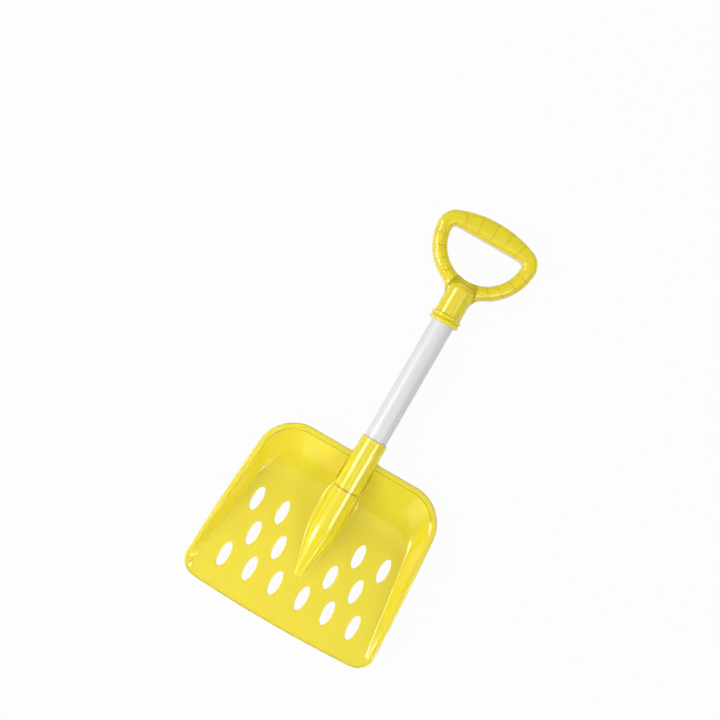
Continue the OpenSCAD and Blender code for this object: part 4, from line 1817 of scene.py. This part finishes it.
@dataclass
class Studio:
    """The floor, the light round the shovel and the camera above it, with places in metres."""

    camera_place: Place = (-0.019698, 0.041452, 0.972236)
    camera_roll: float = 30.058
    sensor: float = 36.0
    lens: float = 46.3
    shift: tuple[float, float] = (-0.0411, 0.0241)
    floor_half: float = 6.0
    floor_gap: float = 0.0003
    floor_albedo: float = 0.35
    floor_white: float = 0.97
    sky_fill: float = 0.65
    sky_mirrored: float = 0.22
    shine_z: float = 0.03
    white: tuple[float, float, float, float] = (1.0, 1.0, 1.0, 1.0)

    def soft_lamps(self) -> tuple[Lamp, ...]:
        """Softboxes that light the shovel and don't show in its gloss.

        Returns:
            Four wide lamps, and two with grids for the pan's left wall and the grip's right side.
        """
        middle, blade, soft = (0.0, -0.05, 0.02), (0.0, -0.1, 0.02), Light.SOFT
        left_wall, right_grip = (-0.1, -0.175, 0.02), (0.01, 0.19, 0.02)
        return (
            Lamp("soft_left", (-1.0, -0.42, 0.5), middle, 1.1, 0.9, 2.6, soft),
            Lamp("soft_high", (-0.75, -0.25, 0.95), middle, 0.9, 0.9, 2.0, soft),
            Lamp("soft_front", (0.0, -1.1, 0.5), blade, 1.0, 0.6, 0.35, soft),
            Lamp("soft_right", (0.9, -0.35, 0.6), (-0.1, -0.15, 0.02), 0.6, 0.5, 1.4, soft),
            Lamp("wall_left", (0.6, -0.62, 0.42), left_wall, 0.24, 0.2, 1.2, soft, spread=36.0),
            Lamp("grip_right", (0.65, 0.45, 0.5), right_grip, 0.2, 0.2, 0.25, soft, spread=26.0),
        )

    def gloss_lamps(self) -> tuple[Lamp, ...]:
        """Softboxes that show only in the gloss, each of which answers to a highlight on the shovel.

        Returns:
            Three lamps with aims of their own, and six that face the shovel straight across.
        """
        across = (
            ("side_left", -1.13, -0.105, 0.95, 0.31, 0.85, 10.0, (0.2, 0.5)),
            ("side_left_arms", -1.13, 0.13, 0.95, 0.18, 0.85, 1.0, (0.3, 0.5)),
            ("side_left_grip", -1.13, 0.3, 0.95, 0.17, 0.85, 8.0, (0.3, 0.5)),
            ("front_left", -1.02, -0.56, 0.68, 0.43, 0.85, 12.0, (0.25, 0.4)),
            ("strip_right_blade", 0.7, -0.22, 0.95, 0.3, 0.66, 8.0, (0.4, 0.4)),
            ("strip_right_grip", 0.7, 0.262, 0.95, 0.14, 0.6, 2.0, (0.4, 0.4)),
        )
        panel_aim, corner_aim = (-0.1, -0.06, 0.02), (0.0, -0.15, self.shine_z)
        return (
            Lamp("overhead", (0.0, 0.0, 1.25), (0.0, 0.0, 0.0), 1.2, 0.9, 0.6, fade=(0.5, 0.55)),
            Lamp("front_panel", (-0.375, -1.15, 0.62), panel_aim, 1.05, 0.8, 0.9, fade=(0.6, 0.7)),
            Lamp("front_right", (0.8, -0.7, 0.85), corner_aim, 0.4, 0.4, 4.0, fade=(0.6, 0.6)),
            *(
                Lamp(name, (x, y, z), (0.0, y, self.shine_z), along, tall, radiance, fade=fade)
                for name, x, y, z, along, tall, radiance, fade in across
            ),
        )

    def build_floor(self) -> None:
        """A pale floor that the camera sees as white, darkened a little by the shovel's shadow."""
        h, z = self.floor_half, -self.floor_gap
        mesh = bpy.data.meshes.new("studio_floor")
        mesh.from_pydata([(-h, -h, z), (h, -h, z), (h, h, z), (-h, h, z)], [], [(0, 1, 2, 3)])
        floor = bpy.data.objects.new("studio_floor", mesh)
        bpy.context.scene.collection.objects.link(floor)
        made, board, shader = open_material("studio_floor")
        made.node_tree.nodes.remove(shader)
        pale = board.add("ShaderNodeBsdfDiffuse", {"Color": (*(self.floor_albedo,) * 3, 1.0)})
        white = board.add("ShaderNodeEmission", {"Color": self.white, "Strength": 1.0})
        path = board.add("ShaderNodeLightPath").outputs
        seen = board.math("MAXIMUM", path["Is Camera Ray"], self.mirrored_ray(board, path))
        mixed = board.between(board.math("MULTIPLY", seen, self.floor_white), pale, white)
        board.feed(made.node_tree.nodes["Material Output"], {"Surface": mixed.outputs[0]})
        mesh.materials.append(made)

    @staticmethod
    def mirrored_ray(board: Board, path: bpy.types.NodeOutputs) -> Socket:
        """1 for a ray that comes by way of a reflection or glass, and else 0."""
        return board.math("MAXIMUM", path["Is Glossy Ray"], path["Is Transmission Ray"])

    def build_world(self) -> None:
        """A sky that fills the shadows, dimmer in the gloss and white to the camera."""
        world = bpy.data.worlds.new("studio_sky")
        bpy.context.scene.world = world
        world.use_nodes = True
        world.node_tree.nodes.clear()
        board = Board(world.node_tree)
        path = board.add("ShaderNodeLightPath").outputs
        fill, mirrored, seen = (
            board.add("ShaderNodeBackground", {"Color": self.white, "Strength": strength})
            for strength in (self.sky_fill, self.sky_mirrored, 1.0)
        )
        sky = board.between(self.mirrored_ray(board, path), fill, mirrored)
        sky = board.between(path["Is Camera Ray"], sky, seen)
        board.add("ShaderNodeOutputWorld", {"Surface": sky.outputs[0]})

    def build_camera(self) -> None:
        """A camera straight above the shovel, turned as the picture is."""
        data = bpy.data.cameras.new("camera")
        data.sensor_width, data.lens = self.sensor, self.lens
        data.shift_x, data.shift_y = self.shift
        camera = bpy.data.objects.new("camera", data)
        camera.location = self.camera_place
        camera.rotation_euler = (0.0, 0.0, math.radians(self.camera_roll))
        bpy.context.scene.collection.objects.link(camera)
        bpy.context.scene.camera = camera

    def build(self) -> None:
        """Sets up the whole studio."""
        bpy.context.scene.view_settings.view_transform = "Standard"
        self.build_camera()
        self.build_floor()
        self.build_world()
        for lamp in self.soft_lamps() + self.gloss_lamps():
            lamp.build()


YELLOW = PlasticFinish(
    name="yellow_plastic",
    colour=(0.85, 0.715, 0.03),
    deep=(0.83, 0.69, 0.026),
    # painted shade colour for grooves, recesses and the rounded edge
    line=(0.5, 0.38, 0.012),
    worn=(0.86, 0.75, 0.16),
    roughness=(0.11, 0.16),
    ripple=420.0,
    mottle=45.0,
    relief=0.0000025,
    glow=0.5,
)
WHITE = PlasticFinish(
    name="white_pipe",
    colour=(0.75, 0.75, 0.755),
    deep=(0.72, 0.72, 0.73),
    # painted shade colour; the pipe carries no marks, so it stays unused
    line=(0.8, 0.8, 0.8),
    worn=(0.8, 0.8, 0.8),
    roughness=(0.34, 0.44),
    ripple=1600.0,
    mottle=260.0,
    relief=0.000008,
    stretch=0.02,
)
ZINC = MetalFinish(
    name="zinc_steel",
    colour=(0.62, 0.63, 0.65),
    stain=(0.5, 0.51, 0.52),
    roughness=(0.22, 0.4),
    ripple=9000.0,
    mottle=700.0,
    relief=0.00001,
)


def main() -> None:
    """Builds the studio and the shovel."""
    logging.basicConfig(level=logging.INFO, format="%(name)s: %(message)s")
    Studio().build()
    groups = SurfaceGroups()
    yellow, white, zinc = (finish.material(groups) for finish in (YELLOW, WHITE, ZINC))
    layout = Layout()
    blade_screw = Screw(layout.blade_screw_y, Scoop.sleeve_od / 2, layout.axis_z)
    grip_screw = Screw(layout.grip_screw_y, Grip.sleeve_od / 2, layout.axis_z)
    Scoop(layout, blade_screw).build(yellow)
    grip = Grip(layout, grip_screw)
    grip.build(yellow)
    Shaft(layout, grip.stop_y, (blade_screw, grip_screw)).build(white)
    blade_screw.build("blade_screw", zinc)
    grip_screw.build("grip_screw", zinc)


if __name__ == "__main__":
    main()
